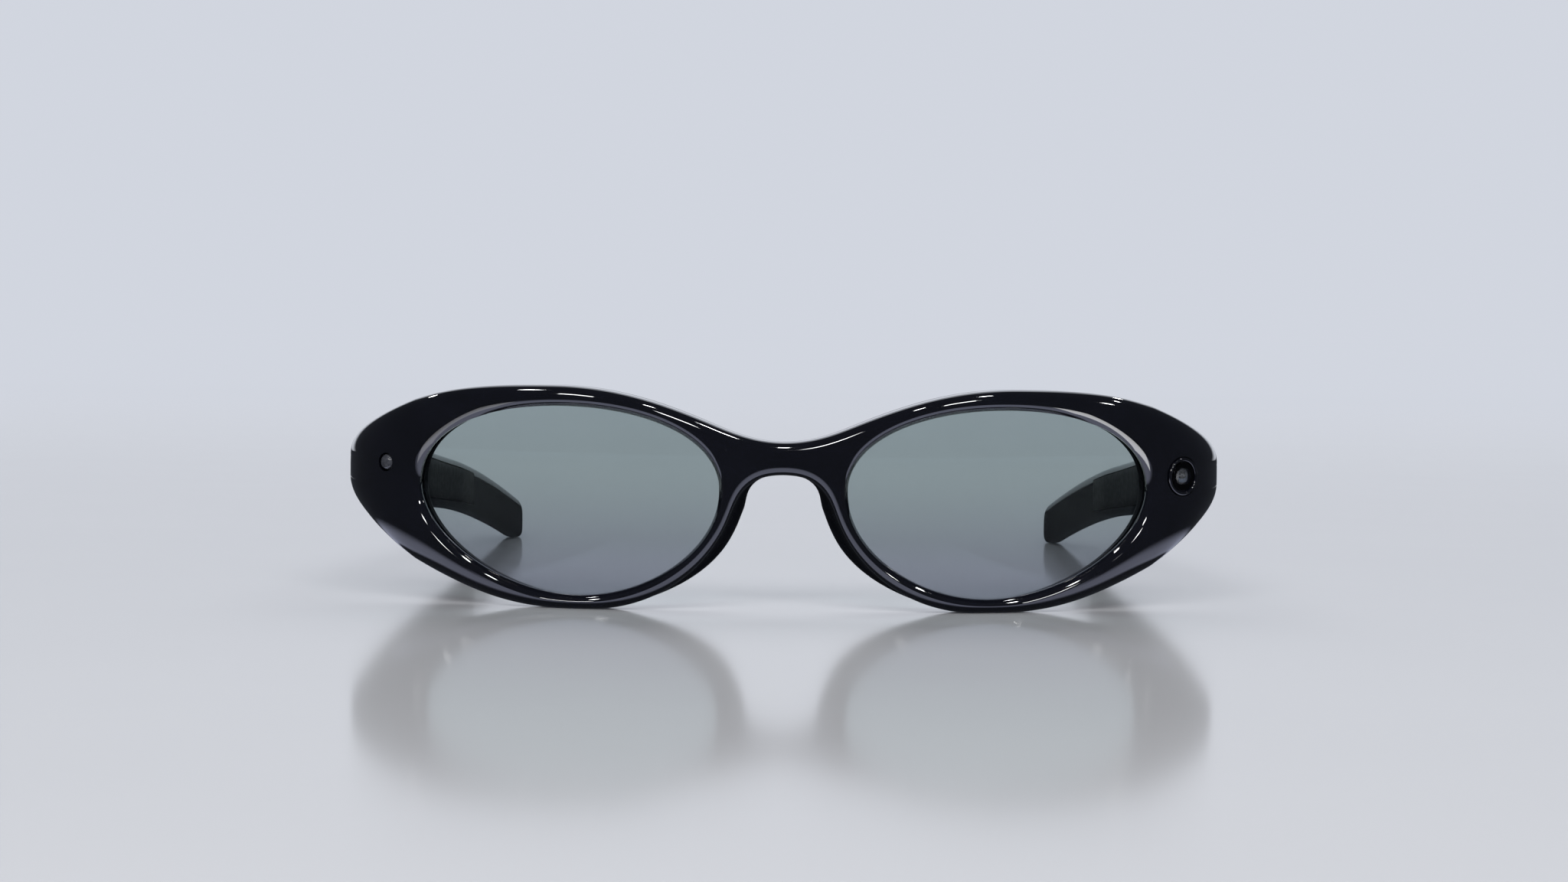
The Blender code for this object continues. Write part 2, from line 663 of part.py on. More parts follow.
def recording_light(front, rear):
    """Recording light in the right end piece: a clear pipe in the face, and a small board behind it."""
    face = corner_frame(LIGHT_U, LIGHT_HEIGHT, -1)
    flange = LIGHT_RADIUS + 0.5 * mm
    inner = -SHELL_SPLIT + FIT
    step = inner + LIGHT_FLANGE
    turned("light_pipe", [
        (0, 0.2 * mm), (0.6 * LIGHT_RADIUS, 0.14 * mm), (LIGHT_RADIUS, 0.0),
        (LIGHT_RADIUS, step), (flange, step), (flange, inner), (0, inner),
    ], face, FINISH["light_pipe"], BRIDGE)
    boolean(front, "light_bore", rod("bore", LIGHT_RADIUS + FIT, -2 * SHELL_SPLIT, 4 * mm, face))
    boolean(front, "light_seat", rod("seat", flange + FIT, -2 * SHELL_SPLIT, step + FIT, face))
    back = -SHELL_SPLIT - SEAM - LIGHT_BOARD_THICKNESS
    place = face @ Matrix.Translation((0, 0, back + LIGHT_BOARD_THICKNESS / 2 - FIT))
    size = Vector((LIGHT_BOARD_WIDTH, LIGHT_BOARD_WIDTH, LIGHT_BOARD_THICKNESS))
    solid("light_board", block("light_board", size, place), FINISH["circuit_board"], BRIDGE)
    for shell in (front, rear):
        boolean(shell, "light_pocket", block("pocket", size + Vector((2, 2, 2)) * FIT, place))


# Ribbon over the brow and charging pins

def brow_line(inset):
    """Points along the brow, this far inside the outline, from the bridge to the end piece's pocket."""
    points, out, _ = outline()
    reach = points[:, 0] < LENS_OUT + 2 * mm
    top = np.flatnonzero(reach & (points[:, 1] > BRIDGE_UNDERSIDE + 0.99 * BRIDGE_HEIGHT) & (out[:, 1] > 0))
    line = [Vector(p) for p in points[top] - out[top] * inset]
    line[0].x = 0
    last, end = line[-1], Vector((CAMERA_U + RIBBON_END_REACH, CAMERA_HEIGHT + RIBBON_END_RISE))
    knee = Vector((end.x, last.y - RIBBON_END_DROP))
    return np.array(line + [Vector(p)[:2] for p in interpolate_bezier(last, knee, knee, end, 7)[1:]])


def ribbon_mesh(name, half_width, low, high):
    """Half of a flat ribbon along the brow, open at the bridge."""
    line = brow_line(RIBBON_INSET)
    run = np.gradient(line, axis=0)
    across = np.stack([-run[:, 1], run[:, 0]], -1) / np.linalg.norm(run, axis=1)[:, None]
    across[0] = (0, 1)
    section = ((1, high), (-1, high), (-1, low), (1, low))
    rings = [
        [tuple(crowned(*(p + w * half_width * a), n)) for w, n in section] for p, a in zip(line, across)
    ]
    mesh = loft(name, rings)
    bm = bmesh.new()
    bm.from_mesh(mesh)
    cap = [f for f in bm.faces if all(abs(v.co.x) < 1e-7 for v in f.verts)]
    bmesh.ops.delete(bm, geom=cap, context="FACES_ONLY")
    bm.to_mesh(mesh)
    bm.free()
    return mesh


def brow_ribbon(front):
    """Flexible circuit from the camera's side to the light's, in a channel between the two front shells."""
    low = -SHELL_SPLIT + FIT
    mesh = ribbon_mesh("brow_ribbon", RIBBON_WIDTH / 2, low, low + RIBBON_THICKNESS)
    mirrored(solid("brow_ribbon", mesh, FINISH["flex"], BRIDGE))
    channel = ribbon_mesh("channel", RIBBON_WIDTH / 2 + FIT, -2 * SHELL_SPLIT, low + RIBBON_THICKNESS + FIT)
    boolean(front, "ribbon_channel", channel)
    mirrored(front.modifiers["ribbon_channel"].object)


def charging_pins(rear):
    """Two charging contacts on the back of the bridge."""
    back, split = RIM_DEPTH, SHELL_SPLIT + SEAM
    for side, name in SIDES:
        centre = crowned(PIN_SPACING / 2, BRIDGE_UNDERSIDE + BRIDGE_HEIGHT / 2, 0.0) * (side, 1, 1)
        frame = axes(centre, (-1, 0, 0), (0, 0, 1), (0, 1, 0))
        turned(f"{name}_charging_pin", [
            (0, back + PIN_PROUD), (PIN_RADIUS, back + PIN_PROUD),
            (PIN_RADIUS, split + FIT), (0, split + FIT),
        ], frame, FINISH["gold"], BRIDGE, steps=20)
        boolean(rear, f"{name}_pin_hole", rod("hole", PIN_RADIUS + FIT, split - FIT, 2 * back, frame, 20))


# Temples

def temple_half(s):
    return ROOT_HALF + (TIP_HALF - ROOT_HALF) * s / TEMPLE_LENGTH


def temple_depth(s):
    return END_DEPTH + (TIP_DEPTH - END_DEPTH) * s / TEMPLE_LENGTH


def temple_height(s, droop):
    """Height of the temple's middle: a straight fall, and a growing droop behind the ear."""
    ear = np.clip((s - EAR_START) / (TEMPLE_LENGTH - EAR_START), 0, None)
    return ROOT_HEIGHT - TEMPLE_SLOPE * s - droop * ear**2


def section_depth(up):
    """Share of the inner half depth that the temple's section has at a share of its half height."""
    return (1 - np.abs(up) ** INNER_FULLNESS) ** (1 / INNER_FULLNESS)


def temple_rings(droop, side):
    """Rings of the temple's outer form, from the joint face to the rounded tip."""
    turn = np.radians(np.linspace(0, 80, 6))
    straight = np.linspace(0, TEMPLE_LENGTH - TIP_ROUND, 20)[:-1]
    s = np.concatenate([straight, TEMPLE_LENGTH - TIP_ROUND + TIP_ROUND * np.sin(turn)])
    shrink = np.concatenate([np.ones(len(straight)), np.cos(turn)])
    a = np.linspace(0, 2 * math.pi, 20, endpoint=False)
    rings = []
    for si, k in zip(s, shrink):
        power = np.where(np.cos(a) > 0, 2 / OUTER_FULLNESS, 2 / INNER_FULLNESS)
        z = temple_height(si, droop) + k * temple_half(si) * np.sign(np.sin(a)) * np.abs(np.sin(a)) ** power
        half = temple_depth(si) / 2
        n = half * (k * np.sign(np.cos(a)) * np.abs(np.cos(a)) ** power - 1)
        rings.append(wrap(np.full_like(a, BUTT_START + si), z, n, side))
    rings = np.array(rings)
    rings[0, :, 1] = BUTT_Y + BUTT_GAP
    return rings


def settled_droop():
    """The droop that brings the tips down onto the table."""
    droop = 0.0
    for _ in range(12):
        droop += temple_rings(droop, 1)[:, :, 2].min()
    return droop


def bay(s0, s1, outer, margin, side):
    """A run of the temple from depth outer(s) out through its inner face, this far inside top and bottom."""
    rings = []
    for s in np.linspace(s0, s1, 12):
        z = temple_height(s, DROOP) + (temple_half(s) - margin) * np.array((1, -1, -1, 1))
        past = temple_depth(s) + 2 * mm
        n = -np.array((outer(s), outer(s), past, past))
        rings.append(wrap(np.full(4, BUTT_START + s), z, n, side))
    return loft("bay", rings)


def temple_frame(s, n, side, above=0.0):
    """Frame in the temple: X runs back along it, Y points to its outer face and Z up."""
    u = np.array(BUTT_START + s)
    origin = Vector(wrap(u, temple_height(s, DROOP) + above, n, side))
    heading = float(plan(u)[2])
    fall = (temple_height(s + mm, DROOP) - temple_height(s - mm, DROOP)) / (2 * mm)
    along = Vector((side * math.cos(heading), math.sin(heading), fall)).normalized()
    out = Vector((side * math.sin(heading), -math.cos(heading), 0))
    return axes(origin, along, out, along.cross(out) * -side)


def temple_shell(side, name, parent):
    """Outer shell of a temple with its solid tip, and the bay that the inner cover closes."""
    mesh = loft(f"{name}_temple_shell", temple_rings(DROOP, side))
    made = solid(f"{name}_temple_shell", mesh, FINISH["gloss_black"], parent)
    ledge = SHELL_WALL + COVER_LEDGE
    boolean(made, "bay", bay(BAY_START, BAY_END, lambda s: SHELL_WALL, ledge, side))
    shelf = COVER_THICKNESS + FIT
    ends = BAY_START - mm, BAY_END + mm
    boolean(made, "cover_rebate", bay(*ends, lambda s: temple_depth(s) - shelf, SHELL_WALL, side))
    return made


def temple_cover(side, name, parent):
    """Inner cover: a plate flush with the temple's inner face, in the shell's rebate."""
    up = np.array((-1, -0.6, 0, 0.6, 1))
    rings = []
    for s in np.linspace(BAY_START - mm + FIT, BAY_END + mm - FIT, 14):
        half, deep = temple_half(s), temple_depth(s)
        reach = half - SHELL_WALL - FIT
        skin = -deep / 2 * (1 + section_depth(up * reach / half))
        z = temple_height(s, DROOP) + np.concatenate([up * reach, (reach, -reach)])
        n = np.concatenate([skin, np.full(2, COVER_THICKNESS - deep)])
        rings.append(wrap(np.full(7, BUTT_START + s), z, n, side))
    mesh = loft(f"{name}_temple_cover", rings)
    return solid(f"{name}_temple_cover", mesh, FINISH["satin_black"], parent)


# Hinges

def knuckles(owner):
    """Heights of the hinge knuckles: the temple has every other one from the ends, the front the rest."""
    first = ROOT_HEIGHT - KNUCKLE_PITCH * (KNUCKLE_COUNT - 1) / 2
    return [first + KNUCKLE_PITCH * i for i in range(KNUCKLE_COUNT) if (i % 2 == 0) == (owner == "temple")]


def hinge_leaf(side, name, owner, shell, parent):
    """Hinge leaf: a plate let into the joint face, with arms to the knuckles round the screw."""
    way = 1 if owner == "temple" else -1
    face = BUTT_GAP / 2 + SEAM
    plate_in = KNUCKLE_RADIUS + FIT
    tall = KNUCKLE_COUNT * KNUCKLE_PITCH
    y = way * (face + LEAF_THICKNESS / 2)

    def at(x, dy, z):
        return Matrix.Translation((PIN.x * side + side * x, PIN.y + dy, z))

    middle = at(plate_in + LEAF_WIDTH / 2, y, ROOT_HEIGHT)
    plate = block("plate", (LEAF_WIDTH, LEAF_THICKNESS, tall), middle)
    leaf = solid(f"{name}_{owner}_hinge_leaf", plate, FINISH["steel"], parent)
    thick = KNUCKLE_PITCH - KNUCKLE_PLAY
    arm = plate_in + 0.5 * mm
    for i, z in enumerate(knuckles(owner)):
        boolean(leaf, f"arm_{i}", block("arm", (arm, LEAF_THICKNESS, thick), at(arm / 2, y, z)), "UNION")
        barrel = rod("knuckle", KNUCKLE_RADIUS, -thick / 2, thick / 2, at(0, 0, z), 20)
        boolean(leaf, f"knuckle_{i}", barrel, "UNION")
    bore = rod("bore", SCREW_RADIUS + SCREW_PLAY, -tall, tall, at(0, 0, ROOT_HEIGHT), 16)
    boolean(leaf, "screw_hole", bore)
    slot = (CABLE_THICKNESS + 4 * FIT, 4 * mm, CABLE_WIDTH + 4 * FIT)
    boolean(leaf, "cable_slot", block("slot", slot, at(CABLE_X, y, ROOT_HEIGHT)))
    deep = LEAF_THICKNESS + FIT + SEAM
    wide = 2 * KNUCKLE_RADIUS + 3 * FIT + LEAF_WIDTH
    recess = at(wide / 2 - KNUCKLE_RADIUS - FIT, way * (BUTT_GAP / 2 + deep / 2 - mm), ROOT_HEIGHT)
    boolean(shell, f"{name}_leaf_recess", block("recess", (wide, deep + 2 * mm, tall + 2 * FIT), recess))


def hinge_screw(side, name):
    """Hinge screw: a plain pin with a slotted head underneath, held by the front leaf."""
    frame = Matrix.Translation((PIN.x * side, PIN.y, ROOT_HEIGHT))
    top = KNUCKLE_COUNT * KNUCKLE_PITCH / 2
    low, head = -top - SEAM, -top - SEAM - SCREW_HEAD_HEIGHT
    screw = turned(f"{name}_hinge_screw", [
        (0, top), (SCREW_RADIUS - 0.15 * mm, top), (SCREW_RADIUS, top - 0.15 * mm), (SCREW_RADIUS, low),
        (SCREW_HEAD_RADIUS, low), (SCREW_HEAD_RADIUS, head), (0, head),
    ], frame, FINISH["steel"], BRIDGE, steps=20)
    slot = (3 * SCREW_HEAD_RADIUS, 0.4 * mm, 0.6 * SCREW_HEAD_HEIGHT)
    boolean(screw, "driver_slot", block("slot", slot, frame @ Matrix.Translation((0, 0, head))))


def hinge_cable(side, name, front, rear, shell):
    """Flexible circuit through the hinge, from the end piece into the temple's bay."""
    front_end = sensor_back() + CABLE_GAP
    length = BUTT_Y + BAY_START + CABLE_TAIL - front_end
    x = side * (PIN.x + CABLE_X)
    frame = Matrix.Translation((x, front_end + length / 2, ROOT_HEIGHT))
    size = Vector((CABLE_THICKNESS, length, CABLE_WIDTH))
    solid(f"{name}_hinge_cable", block("cable", size, frame), FINISH["flex"], BRIDGE)
    room = block("passage", size + Vector((4, 4, 4)) * FIT, frame)
    for cut in (front, rear, shell):
        boolean(cut, f"{name}_cable_passage", room.copy())


# What the temples hold

def bay_box(name, s0, length, height, thickness, n_outer, side, finish, parent, bevel=0.0, above=0.0):
    """A flat component in the bay, with its outer face at depth n_outer."""
    frame = temple_frame(s0 + length / 2, n_outer - thickness / 2, side, above)
    solid(name, block(name, (length, thickness, height), frame, bevel), finish, parent)
    return frame


def bay_half(s):
    """Half of the bay's clear height at a place along the temple."""
    return temple_half(s) - SHELL_WALL - COVER_LEDGE


def bow_between(length):
    """How far the bowed wall moves in over half a straight piece's length."""
    return length**2 / (8 * TEMPLE_BOW_RADIUS)


def speaker(side, name, shell, parent):
    """Speaker beside the ear, its sound slots in the temple's underside, and the mesh that covers them."""
    end = SPEAKER_START + SPEAKER_LENGTH
    height = 2 * (bay_half(end) - MESH_THICKNESS - 2 * FIT)
    n_outer = -SHELL_WALL - FIT - bow_between(SPEAKER_LENGTH)
    bay_box(f"{name}_speaker", SPEAKER_START, SPEAKER_LENGTH, height, SPEAKER_THICKNESS, n_outer, side,
            FINISH["dark_plastic"], parent, 0.4 * mm, MESH_THICKNESS / 2)
    middle = SPEAKER_START + SPEAKER_LENGTH / 2
    floor = -bay_half(end) + FIT + MESH_THICKNESS / 2
    mesh_frame = temple_frame(middle, n_outer - SPEAKER_THICKNESS / 2, side, floor)
    span = SLOT_PITCH * SLOT_COUNT
    grille = block("mesh", (span, SPEAKER_THICKNESS, MESH_THICKNESS), mesh_frame)
    solid(f"{name}_speaker_mesh", grille, FINISH["steel"], parent)
    for i in range(SLOT_COUNT):
        shift = Matrix.Translation(((i - (SLOT_COUNT - 1) / 2) * SLOT_PITCH, 0, -MESH_THICKNESS / 2))
        down = Matrix.Translation((0, 0, -2 * mm))
        slot = block("slot", (SLOT_WIDTH, 0.8 * SPEAKER_THICKNESS, 4 * mm), mesh_frame @ shift @ down)
        boolean(shell, f"sound_slot_{i}", slot)


def microphone(side, name, shell, parent):
    """Microphone against the temple's underside near the hinge, and its port."""
    s, size = BAY_START + 1.6 * mm, 2.4 * mm
    n_outer = -SHELL_WALL - FIT
    above = -bay_half(s + size / 2) + FIT + 0.5 * mm
    frame = bay_box(f"{name}_microphone", s - size / 2, size, 1.0 * mm, size, n_outer, side,
                    FINISH["steel"], parent, 0.0, above)
    boolean(shell, "microphone_port", rod("port", 0.4 * mm, -6 * mm, -0.5 * mm, frame, 12))


def battery(parent):
    """Flat cell in the left temple."""
    end = BATTERY_START + BATTERY_LENGTH
    clear = temple_depth(end) - SHELL_WALL - COVER_THICKNESS - 3 * FIT - 2 * bow_between(BATTERY_LENGTH)
    n_outer = -SHELL_WALL - FIT - bow_between(BATTERY_LENGTH)
    bay_box("battery", BATTERY_START, BATTERY_LENGTH, 2 * (bay_half(end) - FIT), clear, n_outer, 1,
            FINISH["battery"], parent, 0.5 * mm)


def main_board(parent):
    """Touch sensor behind the right temple's outer wall, then the main board and its shield can."""
    end = BOARD_START + BOARD_LENGTH
    height = 2 * (bay_half(end) - FIT)
    bow = bow_between(BOARD_LENGTH)
    n_touch = -SHELL_WALL - FIT - bow
    bay_box("touch_sensor", BOARD_START, TOUCH_LENGTH, height, TOUCH_THICKNESS, n_touch, -1,
            FINISH["flex"], parent)
    n_board = n_touch - TOUCH_THICKNESS - 2 * FIT
    bay_box("main_board", BOARD_START, BOARD_LENGTH, height, BOARD_THICKNESS, n_board, -1,
            FINISH["circuit_board"], parent)
    n_shield = n_board - BOARD_THICKNESS - FIT
    bay_box("shield_can", BOARD_START + 8 * mm, SHIELD_LENGTH, height - 1.2 * mm, SHIELD_THICKNESS,
            n_shield, -1, FINISH["steel"], parent, 0.2 * mm)


def capture_button(shell, parent):
    """Capture button in the top of the right temple, with a flange under the wall, and its switch below."""
    s = BUTTON_START + BUTTON_LENGTH / 2
    n = -temple_depth(s) / 2
    roof, ceiling = temple_half(s), bay_half(s)
    frame = temple_frame(s, n, -1)
    top = roof + BUTTON_PROUD
    stem_low = ceiling - BUTTON_PLAY
    origin = frame @ Matrix.Translation((0, 0, roof))
    home = empty("capture_button_home", origin.translation, parent)

    def level(low, high):
        return frame @ Matrix.Translation((0, 0, (low + high) / 2))

    tall = top - stem_low + FIT
    cap = pill("capture_button", BUTTON_LENGTH, BUTTON_WIDTH, tall, level(stem_low - FIT, top))
    made = solid("capture_button", cap, FINISH["satin_black"], home)
    flange = pill("flange", BUTTON_LENGTH + 1.2 * mm, BUTTON_WIDTH + 1.0 * mm, BUTTON_FLANGE,
                  level(stem_low - BUTTON_FLANGE, stem_low))
    boolean(made, "flange", flange, "UNION")
    hole = pill("hole", BUTTON_LENGTH + 2 * BUTTON_PLAY, BUTTON_WIDTH + 2 * BUTTON_PLAY, top,
                level(ceiling - mm, ceiling - mm + top))
    boolean(shell, "button_hole", hole)
    switch_top = stem_low - BUTTON_FLANGE - BUTTON_TRAVEL - FIT
    size = (5 * mm, 3 * mm, 1.4 * mm)
    switch = block("button_switch", size, level(switch_top - size[2], switch_top))
    solid("button_switch", switch, FINISH["steel"], parent)


def power_slider(cover, parent):
    """Power slider in the left temple's inner cover, and the switch that it moves."""
    s = SLIDER_START + SLIDER_LENGTH / 2
    deep = temple_depth(s)
    frame = temple_frame(s, -deep, 1)
    upright = Matrix.Rotation(math.radians(90), 4, "X")
    travel = Matrix.Translation((SLIDER_TRAVEL / 2, 0, 0))

    def level(low, high):
        return frame @ Matrix.Translation((0, (low + high) / 2, 0)) @ upright

    home = empty("power_slider_home", frame.translation, parent)
    inner = COVER_THICKNESS + SLIDER_PLAY
    ends = -SLIDER_PROUD, inner + FIT
    knob = pill("power_slider", SLIDER_LENGTH, SLIDER_WIDTH, ends[1] - ends[0], level(*ends))
    made = solid("power_slider", knob, FINISH["satin_black"], home)
    flange = block("flange", (SLIDER_LENGTH + 1.6 * mm, SLIDER_WIDTH + 1.2 * mm, SLIDER_FLANGE),
                   level(inner, inner + SLIDER_FLANGE))
    boolean(made, "flange", flange, "UNION")
    run = SLIDER_LENGTH + SLIDER_TRAVEL + 2 * SLIDER_PLAY
    slot = pill("slot", run, SLIDER_WIDTH + 2 * SLIDER_PLAY, 8 * mm, level(-4 * mm, 4 * mm) @ travel)
    boolean(cover, "slider_slot", slot)
    back = inner + SLIDER_FLANGE + FIT
    room = deep - SHELL_WALL - back - 2 * FIT
    switch = block("slider_switch", (8 * mm, 4 * mm, room), level(back, back + room) @ travel)
    solid("slider_switch", switch, FINISH["dark_plastic"], parent)


# Build

clear_scene()
PARTS = collection("smart_glasses")
CUTTERS = collection("cutters")
FINISH = {
    "gloss_black": material("gloss_black", (0.006, 0.006, 0.009), 0.06),
    "satin_black": material("satin_black", (0.01, 0.01, 0.012), 0.35),
    "lens_tint": material("lens_tint", (0.18, 0.21, 0.2), 0.03, alpha=0.5),
    "camera_glass": material("camera_glass", (0.01, 0.012, 0.02), 0.03),
    "light_pipe": material("light_pipe", (0.6, 0.62, 0.65), 0.15),
    "steel": material("steel", (0.6, 0.6, 0.62), 0.3, 1.0),
    "gold": material("gold", (0.83, 0.62, 0.27), 0.25, 1.0),
    "circuit_board": material("circuit_board", (0.02, 0.12, 0.07), 0.5),
    "flex": material("flex", (0.45, 0.22, 0.05), 0.4),
    "battery": material("battery", (0.5, 0.51, 0.53), 0.4, 0.6),
    "dark_plastic": material("dark_plastic", (0.03, 0.03, 0.035), 0.5),
}

BUTT_X, BUTT_Y, _ = (float(v) for v in plan(BUTT_START))
INNER_X = BUTT_X - END_DEPTH * math.sin(BUTT_ANGLE)
PIN = Vector((INNER_X - KNUCKLE_RADIUS - 2 * FIT, BUTT_Y + BUTT_GAP / 2, ROOT_HEIGHT))
CABLE_X = INNER_X + COVER_THICKNESS + 3 * FIT - PIN.x
DROOP = settled_droop()

BRIDGE = empty("glasses", (0, 0, 0))


def main():
    rim = Rim()
    front, rear = front_frame(rim), rear_frame(rim)
    for shell in (front, rear):
        cut_joint_face(shell)
    camera(front, rear)
    recording_light(front, rear)
    brow_ribbon(front)
    charging_pins(rear)
    for side, name in SIDES:
        lens(side, name)
        pivot = empty(f"{name}_hinge", (PIN.x * side, PIN.y, PIN.z), BRIDGE)
        shell = temple_shell(side, name, pivot)
        cover = temple_cover(side, name, pivot)
        hinge_leaf(side, name, "front", rear, BRIDGE)
        hinge_leaf(side, name, "temple", shell, pivot)
        hinge_screw(side, name)
        hinge_cable(side, name, front, rear, shell)
        speaker(side, name, shell, pivot)
        microphone(side, name, shell, pivot)
        if side > 0:
            battery(pivot)
            power_slider(cover, pivot)
        else:
            main_board(pivot)
            capture_button(shell, pivot)
    tips = float(temple_rings(DROOP, 1)[:, :, 1].max())
    nose = float(crowned(np.zeros(1), np.array([BRIDGE_UNDERSIDE + BRIDGE_HEIGHT / 2]), 0.0)[0, 1])
    BRIDGE.location.y = -(tips + nose) / 2


main()
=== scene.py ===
# %% [markdown]
# # Smart glasses, dressed for a picture
#
# The packed model holds the pieces at their real size, with coarse facets. This lesson puts fine,
# polished surfaces over them. It starts by loading that model, whose nodes stay where they are.

# %% Load the frame
import json
import math

import bmesh
import bpy
import numpy as np
from mathutils import Matrix, Vector


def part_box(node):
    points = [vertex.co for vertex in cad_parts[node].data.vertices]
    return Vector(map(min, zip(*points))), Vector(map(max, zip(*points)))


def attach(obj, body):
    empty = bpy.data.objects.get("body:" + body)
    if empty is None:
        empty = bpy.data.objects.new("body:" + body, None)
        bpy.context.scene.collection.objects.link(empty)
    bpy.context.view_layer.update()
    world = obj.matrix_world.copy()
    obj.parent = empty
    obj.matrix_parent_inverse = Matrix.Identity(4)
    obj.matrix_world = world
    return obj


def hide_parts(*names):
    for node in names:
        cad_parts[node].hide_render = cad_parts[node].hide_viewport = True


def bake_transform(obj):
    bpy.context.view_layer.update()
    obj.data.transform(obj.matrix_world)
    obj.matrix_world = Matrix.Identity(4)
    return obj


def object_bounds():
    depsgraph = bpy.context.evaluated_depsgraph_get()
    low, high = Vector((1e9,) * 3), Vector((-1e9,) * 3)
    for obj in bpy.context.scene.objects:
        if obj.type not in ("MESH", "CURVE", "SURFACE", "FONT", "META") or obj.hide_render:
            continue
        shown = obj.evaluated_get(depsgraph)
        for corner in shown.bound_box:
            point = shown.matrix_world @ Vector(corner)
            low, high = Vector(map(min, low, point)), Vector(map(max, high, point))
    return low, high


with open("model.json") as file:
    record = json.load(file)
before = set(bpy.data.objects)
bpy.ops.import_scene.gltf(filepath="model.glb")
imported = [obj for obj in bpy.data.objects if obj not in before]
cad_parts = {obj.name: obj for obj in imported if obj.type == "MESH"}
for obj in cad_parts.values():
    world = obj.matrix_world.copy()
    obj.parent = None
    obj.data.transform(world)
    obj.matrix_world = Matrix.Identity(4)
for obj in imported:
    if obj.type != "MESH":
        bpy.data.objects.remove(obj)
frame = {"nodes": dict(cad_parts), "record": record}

CAD_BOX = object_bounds()
scene = bpy.context.scene
scene.view_settings.view_transform = "Standard"
mm = 0.001
SIDES = ((1, "left"), (-1, "right"))
print("nodes:", len(frame["nodes"]))
print("box:", *([round(x, 4) for x in corner] for corner in CAD_BOX))

# %% [markdown]
# ## The camera
#
# The photograph looks as if a long lens took it from half a metre away, a little above the table and
# with the right side a touch low. One could move a camera by eye until the outlines agree. Here focal
# length, distance, height and tilt were fitted to the rims, whose own size is an estimate.

# %% Camera
FOCAL_PIXELS = 4134
PICTURE_WIDTH = 2048
SENSOR_WIDTH = 36.0
CAMERA_DISTANCE = 520 * mm
CAMERA_RISE = 53.7 * mm
CAMERA_PITCH = math.radians(2.76)
CAMERA_ROLL = math.radians(0.63)

FRONT_Y = CAD_BOX[0].y
camera = bpy.data.objects.new("camera", bpy.data.cameras.new("camera"))
scene.collection.objects.link(camera)
camera.data.sensor_width = SENSOR_WIDTH
camera.data.lens = SENSOR_WIDTH * FOCAL_PIXELS / PICTURE_WIDTH
level = Matrix.Rotation(math.pi / 2 - CAMERA_PITCH, 4, "X")
place = Matrix.Translation((0, FRONT_Y - CAMERA_DISTANCE, CAMERA_RISE))
camera.matrix_world = place @ level @ Matrix.Rotation(CAMERA_ROLL, 4, "Z")
scene.camera = camera
print("lens:", round(camera.data.lens, 2), "mm")

# %% [markdown]
# ## Surfaces from grids
#
# Every new piece is a grid of points worked out with numpy, one row for each step along the piece
# and one column for each step round its section. These helpers join the grid into faces and close
# it: as a tube with two caps, or as a profile turned like wood on a lathe. No loop has to run over
# single points.

# %% Mesh helpers
WELD = 2e-7


def smooth(value, low, high):
    """0 below low, 1 above high, and an S-shaped rise between."""
    t = np.clip((value - low) / (high - low), 0, 1)
    return t * t * (3 - 2 * t)


def placed(points, place):
    """Points moved into a frame: the frame's turn times each point, plus its place."""
    matrix = np.array(place)
    return points @ matrix[:3, :3].T + matrix[:3, 3]


def grid_faces(rows, columns, ring=True, loop=False):
    """Quads between neighbours of a grid, whose columns may close into a ring and rows into a loop."""
    i = np.arange(rows if loop else rows - 1)[:, None]
    j = np.arange(columns if ring else columns - 1)[None, :]
    right, down = (j + 1) % columns, (i + 1) % rows
    corners = (i * columns + j, i * columns + right, down * columns + right, down * columns + j)
    return np.stack(np.broadcast_arrays(*corners), -1)


def mesh_of(points, quads, caps=()):
    """A mesh of quads and end caps. Doubled points are merged, and all faces turned outwards."""
    mesh = bpy.data.meshes.new("piece")
    faces = quads.reshape(-1, 4).tolist() + [list(cap) for cap in caps]
    mesh.from_pydata(points.reshape(-1, 3).tolist(), [], faces)
    bm = bmesh.new()
    bm.from_mesh(mesh)
    bmesh.ops.remove_doubles(bm, verts=bm.verts, dist=WELD)
    bmesh.ops.recalc_face_normals(bm, faces=bm.faces)
    if bm.calc_volume(signed=True) < 0:
        bmesh.ops.reverse_faces(bm, faces=bm.faces)
    bm.to_mesh(mesh)
    bm.free()
    return mesh


def tube_mesh(rings):
    """A closed skin over rings of points (rows, columns, 3), capped at both ends."""
    rows, columns = rings.shape[:2]
    ends = (range(columns), range((rows - 1) * columns, rows * columns))
    return mesh_of(rings, grid_faces(rows, columns), ends)


def turned_mesh(profile, place, steps=96):
    """A profile of (radius, height) turned about the Z of place: x = r cos a, y = r sin a, z = h."""
    a = np.linspace(0, 2 * math.pi, steps, endpoint=False)[:, None]
    r, h = np.asarray(profile, float).T
    points = np.stack(np.broadcast_arrays(r * np.cos(a), r * np.sin(a), h), -1)
    return mesh_of(placed(points, place), grid_faces(steps, len(profile), ring=False, loop=True))


def rod_mesh(radius, low, high, place, steps=96):
    """A round rod along the Z of place, between two heights."""
    return turned_mesh([(0, high), (radius, high), (radius, low), (0, low)], place, steps)


def box_mesh(size, place):
    """A block of this size about the middle of a frame."""
    mesh = bpy.data.meshes.new("box")
    bm = bmesh.new()
    bmesh.ops.create_cube(bm, size=1, matrix=place @ Matrix.Diagonal((*size, 1)))
    bmesh.ops.recalc_face_normals(bm, faces=bm.faces)
    bm.to_mesh(mesh)
    bm.free()
    return mesh


print("meshes weld within", WELD / mm, "mm")

# %% [markdown]
# ## Cuts and finished pieces
#
# Real shells are moulded with their pockets, and bores are drilled. Here a pocket is a Boolean cut
# with a closed cutter, which leaves the same crisp edge. A finished piece is an object that rides on
# a body of the model, wears a finish and stands for the node that it replaces. Its place is in its
# mesh, so that the object itself stays at the origin.

